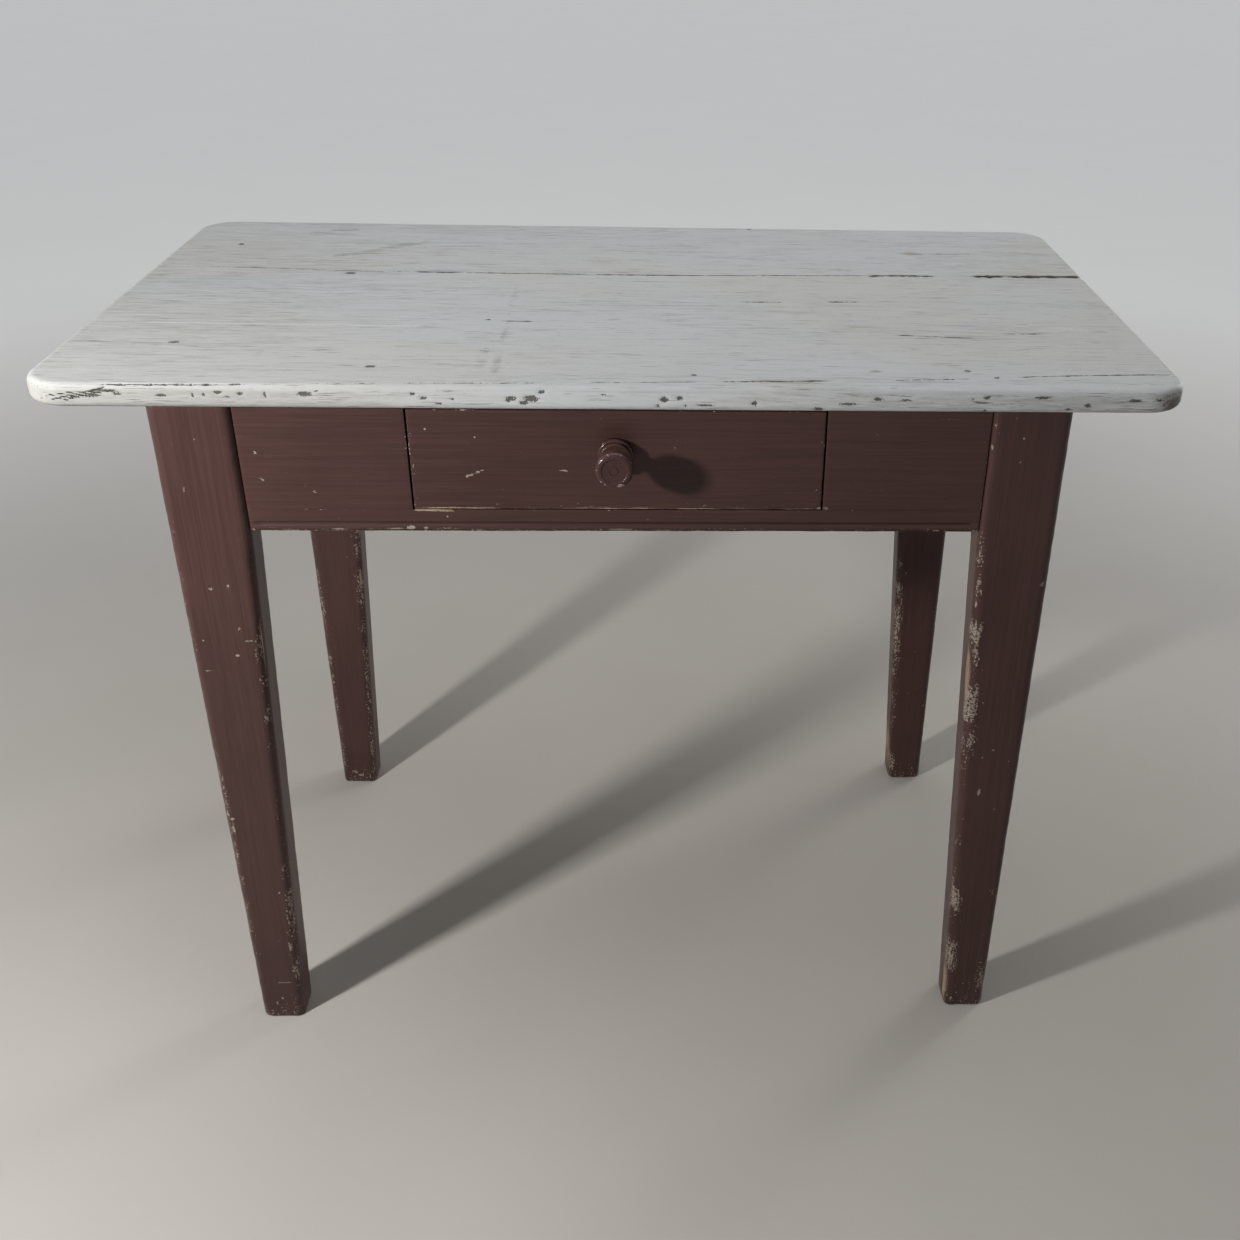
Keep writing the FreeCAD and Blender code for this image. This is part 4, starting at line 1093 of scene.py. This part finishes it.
def bead_shares(low, high):
    """Rows of the rail's face: close together over the bead, wider above it."""
    tall = high.z - low.z
    close = np.linspace(0, GROOVE_MIDDLE + 2 * GROOVE_HALF, BEAD_ROWS)
    spacing = FRONT_SIZES[1]
    above = np.arange(close[-1] + spacing, tall, spacing)
    shares = np.concatenate([close, above]) / tall
    return shares[(shares > ROW_MARGIN) & (shares < 1 - ROW_MARGIN)]


def carve_bead(bar, low):
    """Cuts the bead and its groove along the lower edge of the rail's face."""
    height = bar.points[:, 2] - low.z
    radius = (BEAD_HEIGHT ** 2 / 4 + BEAD_FALL ** 2) / (2 * BEAD_FALL)
    off = np.clip(np.abs(height - BEAD_HEIGHT / 2), 0, BEAD_HEIGHT / 2)
    bead = np.where(height < BEAD_HEIGHT, radius - np.sqrt(radius ** 2 - off ** 2), 0)
    away = np.abs(height - GROOVE_MIDDLE) / GROOVE_HALF
    groove = GROOVE_DEPTH * np.sqrt(np.clip(1 - away ** 2, 0, 1))
    ends = smooth(*BEAD_STOP, LEG_INNER - np.abs(bar.points[:, 0]))
    bar.points[:, 1] += np.where(bar.normals[:, 1] < FRONT_FACING, np.maximum(bead, groove) * ends, 0)


def box_between(node, **ends):
    """A node's box, cut to the part that shows between the pieces it is held by."""
    low, high = (one.copy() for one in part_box(node))
    for name, value in ends.items():
        end, axis = name.split("_")
        setattr(low if end == "low" else high, axis, value)
    return low, high


def edge_stroke(bar, low, high, y, z, radii):
    """1 along a stretch of x at one edge of a face, falling to 0 at the radii."""
    return stroke(bar.points, (low, y, z), (high, y, z), radii)


def make_rail():
    low, high = box_between("drawer_rail", low_x=-LEG_INNER, high_x=LEG_INNER)
    shares = bead_shares(low, high)
    bar = Bar(low, high, "x", *FRONT_SIZES, fine_v=shares)
    carve_bead(bar, low)
    paint_chips(bar, APRON_CHIPS, APRON_FACE, FACE_CHIP_REACH)
    worn = edge_stroke(bar, *RAIL_WORN_STRETCH, APRON_FACE, high.z, RAIL_WORN_RADII)
    scuff = edge_stroke(bar, low.x, high.x, APRON_FACE, low.z, RAIL_SCUFF_RADII)
    bar.mark("worn", RAIL_WORN * worn)
    bar.mark("scuff", RAIL_SCUFF * scuff)
    bar.wear(*RAIL_WEAR)
    bar.add("painted_rail", ["drawer_rail"], bare_side=(1, 1))


def make_apron(word, axis, sizes, bare_side, wear=None, **ends):
    node = "apron_" + word
    bar = Bar(*box_between(node, **ends), axis, *sizes)
    paint_chips(bar, APRON_CHIPS, APRON_FACE, FACE_CHIP_REACH)
    if wear:
        bar.wear(*wear)
    bar.add("painted_" + node, [node], bare_side=bare_side)


make_rail()
make_apron("back", "x", PLAIN_SIZES, (1, -1), BACK_WEAR, low_x=-LEG_INNER, high_x=LEG_INNER)
make_apron("front_left", "x", FRONT_SIZES, (1, 1), low_x=-LEG_INNER, low_z=RAIL[1].z)
make_apron("left", "y", PLAIN_SIZES, (0, 1), SIDE_WEAR, **SIDE_ENDS)
make_apron("front_right", "x", FRONT_SIZES, (1, 1), high_x=LEG_INNER, low_z=RAIL[1].z)
make_apron("right", "y", PLAIN_SIZES, (0, -1), SIDE_WEAR, **SIDE_ENDS)


# Drawer front

DRAWER_ARRIS = 0.0010
DRAWER_END_GAP = 0.0003
DRAWER_SPACING = 0.0017
# Chips in the front: x, z, half width, half height
DRAWER_CHIPS = ((-0.130, 0.718, 0.0020, 0.0018), (-0.188, 0.69, 0.0014, 0.002),
                (0.1885, 0.6475, 0.004, 0.003), (0.052, 0.7085, 0.0016, 0.0014))
# Scratches in the front: start and stop as (x, z), half width
DRAWER_SCRATCHES = (((-0.140, 0.6795), (-0.134, 0.6815), 0.0015),
                    ((-0.132, 0.6825), (-0.124, 0.6865), 0.0013),
                    ((-0.055, 0.6865), (-0.048, 0.6855), 0.0010))
# Scuffs, which fade out under the upper edge
DRAWER_SCUFF = 0.35
DRAWER_UPPER_FADE = 0.02
# The worn lower edge: radii, the least share, the stretch of x over which it grows, and its patches
DRAWER_WORN_RADII = (0.002, 0.003, 0.0016)
DRAWER_WORN_LEAST = 0.62
DRAWER_WORN_STRETCH = (-0.13, -0.17)
DRAWER_WORN_PATCHES = (0.9, ((0.35, 0.025, 72),))
DRAWER_WEAR = (0.0004, 0.002, 0.02, 64)


def make_drawer_front():
    low, high = (one.copy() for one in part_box("drawer_front"))
    low.x += DRAWER_END_GAP
    high.x -= DRAWER_END_GAP
    high.y -= DRAWER_END_GAP
    bar = Bar(low, high, "x", DRAWER_ARRIS, DRAWER_SPACING, DRAWER_SPACING)
    paint_chips(bar, DRAWER_CHIPS, low.y, FACE_CHIP_REACH)
    for start, stop, wide in DRAWER_SCRATCHES:
        ends = [(x, low.y, z) for x, z in (start, stop)]
        bar.mark("chip", stroke(bar.points, *ends, (wide, FACE_CHIP_REACH, wide)))
    bottom = edge_stroke(bar, low.x, high.x, low.y, low.z, DRAWER_WORN_RADII)
    growth = smooth(*DRAWER_WORN_STRETCH, bar.points[:, 0])
    fade = DRAWER_WORN_LEAST + (1 - DRAWER_WORN_LEAST) * growth
    bar.mark("worn", bottom * fade * patchy(bar.points, *DRAWER_WORN_PATCHES))
    below_top = smooth(high.z, high.z - DRAWER_UPPER_FADE, bar.points[:, 2])
    bar.mark("scuff", DRAWER_SCUFF * below_top * np.exp(-bar.edge / ARRIS_SCUFF))
    bar.wear(*DRAWER_WEAR)
    bar.add("painted_drawer_front", ["drawer_front"], body="drawer", bare_side=(1, 1))


make_drawer_front()


# Knob

KNOB_TURNS = 96
KNOB_STEPS = 6
# Corners of the turned profile: radius, distance from the drawer front, rounding
KNOB_PROFILE = (
    (0.0165, -0.001, 0), (0.0165, 0.0060, 0.0018), (0.0130, 0.0060, 0.0002), (0.0130, 0.0075, 0.0002),
    (0.01425, 0.0075, 0.0008), (0.01425, 0.0110, 0.0014), (0.0075, 0.0110, 0.0028),
    (0.0075, 0.0250, 0.0024), (0.01725, 0.0250, 0.0060), (0.01725, 0.0400, 0.0040),
    (0.0120, 0.0400, 0.0006), (0.0115, 0.0394, 0.0006), (0.0044, 0.0394, 0.0003),
    (0.0040, 0.0388, 0.0002), (0.0036, 0.0394, 0.0003), (0.0, 0.0394, 0),
)
# The rubbed rim: radius, reach, distances from the drawer front, strengths of its marks
KNOB_RIM = 0.016
KNOB_RIM_REACH = 0.0015
KNOB_RIM_OUT = (0.034, 0.038)
KNOB_RIM_EDGE = 0.8
KNOB_RIM_SCUFF = 0.5
# The chip: place across and up from the middle, radii
KNOB_CHIP = (0.006, -0.014)
KNOB_CHIP_RADII = (0.006, 0.004, 0.003)


def rounded_profile(corners):
    """The points of a profile with an arc of the given radius at each corner."""
    points = [corners[0][:2]]
    for before, here, after in zip(corners, corners[1:], corners[2:]):
        at = np.array(here[:2])
        into, out = (np.array(one[:2]) - at for one in (before, after))
        into, out = into / np.linalg.norm(into), out / np.linalg.norm(out)
        half = math.acos(np.clip(into @ out, -1, 1)) / 2
        reach = here[2] / math.tan(half)
        middle = at + (into + out) / np.linalg.norm(into + out) * here[2] / math.sin(half)
        start, stop = at + into * reach - middle, at + out * reach - middle
        first, last = (math.atan2(one[1], one[0]) for one in (start, stop))
        turn = (last - first + math.pi) % TURN - math.pi
        for share in np.linspace(0, 1, KNOB_STEPS + 1):
            angle = first + turn * share
            points.append(middle + here[2] * np.array([math.cos(angle), math.sin(angle)]))
    points.append(corners[-1][:2])
    return np.array(points)


def make_knob():
    low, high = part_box("knob")
    centre_x, centre_z = (low.x + high.x) / 2, (low.z + high.z) / 2
    profile = rounded_profile(KNOB_PROFILE)[:-1]
    angles = np.linspace(0, TURN, KNOB_TURNS, endpoint=False)
    radius, out = profile[:, :1], profile[:, 1:]
    points = np.stack([centre_x + radius * np.cos(angles), APRON_FACE - out + 0 * angles,
                       centre_z + radius * np.sin(angles)], axis=-1)
    index = np.arange(points[..., 0].size).reshape(points.shape[:2])
    after = np.roll(index, -1, axis=1)
    faces = np.stack([index[:-1], index[1:], after[1:], after[:-1]], axis=-1).reshape(-1, 4).tolist()
    caps = [index[0].tolist(), index[-1, ::-1].tolist()]
    points = points.reshape(-1, 3)
    from_axis = np.hypot(points[:, 0] - centre_x, points[:, 2] - centre_z)
    rim = np.exp(-np.abs(from_axis - KNOB_RIM) / KNOB_RIM_REACH)
    rim *= smooth(*KNOB_RIM_OUT, APRON_FACE - points[:, 1])
    chip_x, chip_z = KNOB_CHIP
    chip = spot(points, (centre_x + chip_x, low.y, centre_z + chip_z), KNOB_CHIP_RADII)
    marks = {"edge": rim * KNOB_RIM_EDGE, "chip": chip, "worn": 0 * rim, "scuff": rim * KNOB_RIM_SCUFF}
    kinds = [0] * (len(faces) + len(caps))
    add_piece("turned_knob", points, faces, caps, [KNOB_PAINT], kinds, "drawer", ["knob"],
              marks)


make_knob()


# Finishes of the pieces that keep their solids

GRAIN = {"top_dowels": "y", "drawer_runner": "y", "drawer_guide": "y", "drawer_stop": "y",
         "fixing_block_left": "y", "fixing_block_right": "y", "fixing_block_back": "x",
         "drawer_side": "y", "drawer_back": "x", "drawer_bottom": "x", "knob_wedge": "z"}


def finish_solids():
    for name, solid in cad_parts.items():
        if solid.hide_render:
            continue
        grain = [axis for start, axis in GRAIN.items() if name.startswith(start)]
        material = WOOD[grain[0]] if grain else STEEL
        solid.data.materials.clear()
        solid.data.materials.append(material)


finish_solids()


# Floor, light and camera

FLOOR_HALF = 25.0
WORLD_COLOUR = colour(0.97, 0.985, 1.0)
WORLD_LIGHT = 0.09
WORLD_SEEN = 0.50
# Lamps: place, target, size, power, spread in degrees
LAMPS = {
    "key": (Vector((-1.05, -0.90, 1.07)), Vector((0.1, -0.1, 0.45)), 0.10, 17.5, 180.0),
    "overhead": (Vector((0.25, 0.35, 2.6)), Vector((0.0, 0.0, 0.0)), 2.4, 27.5, 180.0),
    "fill": (Vector((2.5, 1.9, 0.95)), Vector((0.0, 0.0, 0.50)), 1.0, 3.0, 50.0),
}
CAMERA_PLACE = (0.0405, -1.4058, 1.1888)
CAMERA_ANGLES = (61.159, -1.4165, -2.614)
SENSOR = 36.0
FOCAL_SHARE = 1337.74 / 1240
SHIFT = (-0.0904, -0.0252)


def add_floor():
    mesh = bpy.data.meshes.new("floor")
    signs = ((-1, -1), (1, -1), (1, 1), (-1, 1))
    corners = [(x * FLOOR_HALF, y * FLOOR_HALF, 0) for x, y in signs]
    mesh.from_pydata(corners, [], [(0, 1, 2, 3)])
    mesh.materials.append(floor_finish())
    floor = bpy.data.objects.new("floor", mesh)
    bpy.context.scene.collection.objects.link(floor)


def add_lamp(name, place, target, size, power, spread):
    lamp = bpy.data.lights.new(name, "AREA")
    lamp.size = size
    lamp.energy = power
    lamp.spread = math.radians(spread)
    holder = bpy.data.objects.new(name, lamp)
    holder.location = place
    holder.rotation_euler = (target - place).to_track_quat("-Z", "Y").to_euler()
    bpy.context.scene.collection.objects.link(holder)


def add_world():
    world = bpy.data.worlds.new("studio")
    world.use_nodes = True
    graph = Graph(world.node_tree)
    background = graph.tree.nodes["Background"].inputs
    background["Color"].default_value = WORLD_COLOUR
    limits = {"Value": graph.seen(), "To Min": WORLD_LIGHT, "To Max": WORLD_SEEN}
    graph.feed(background["Strength"], graph.node("MapRange", "Result", limits))
    bpy.context.scene.world = world


def add_camera():
    data = bpy.data.cameras.new("camera")
    data.sensor_width = SENSOR
    data.lens = SENSOR * FOCAL_SHARE
    data.shift_x, data.shift_y = SHIFT
    camera = bpy.data.objects.new("camera", data)
    camera.location = CAMERA_PLACE
    camera.rotation_euler = Euler([math.radians(one) for one in CAMERA_ANGLES], "XYZ")
    bpy.context.scene.collection.objects.link(camera)
    bpy.context.scene.camera = camera


add_floor()
add_world()
for lamp_name, lamp_values in LAMPS.items():
    add_lamp(lamp_name, *lamp_values)
add_camera()
bpy.context.scene.view_settings.view_transform = "Standard"
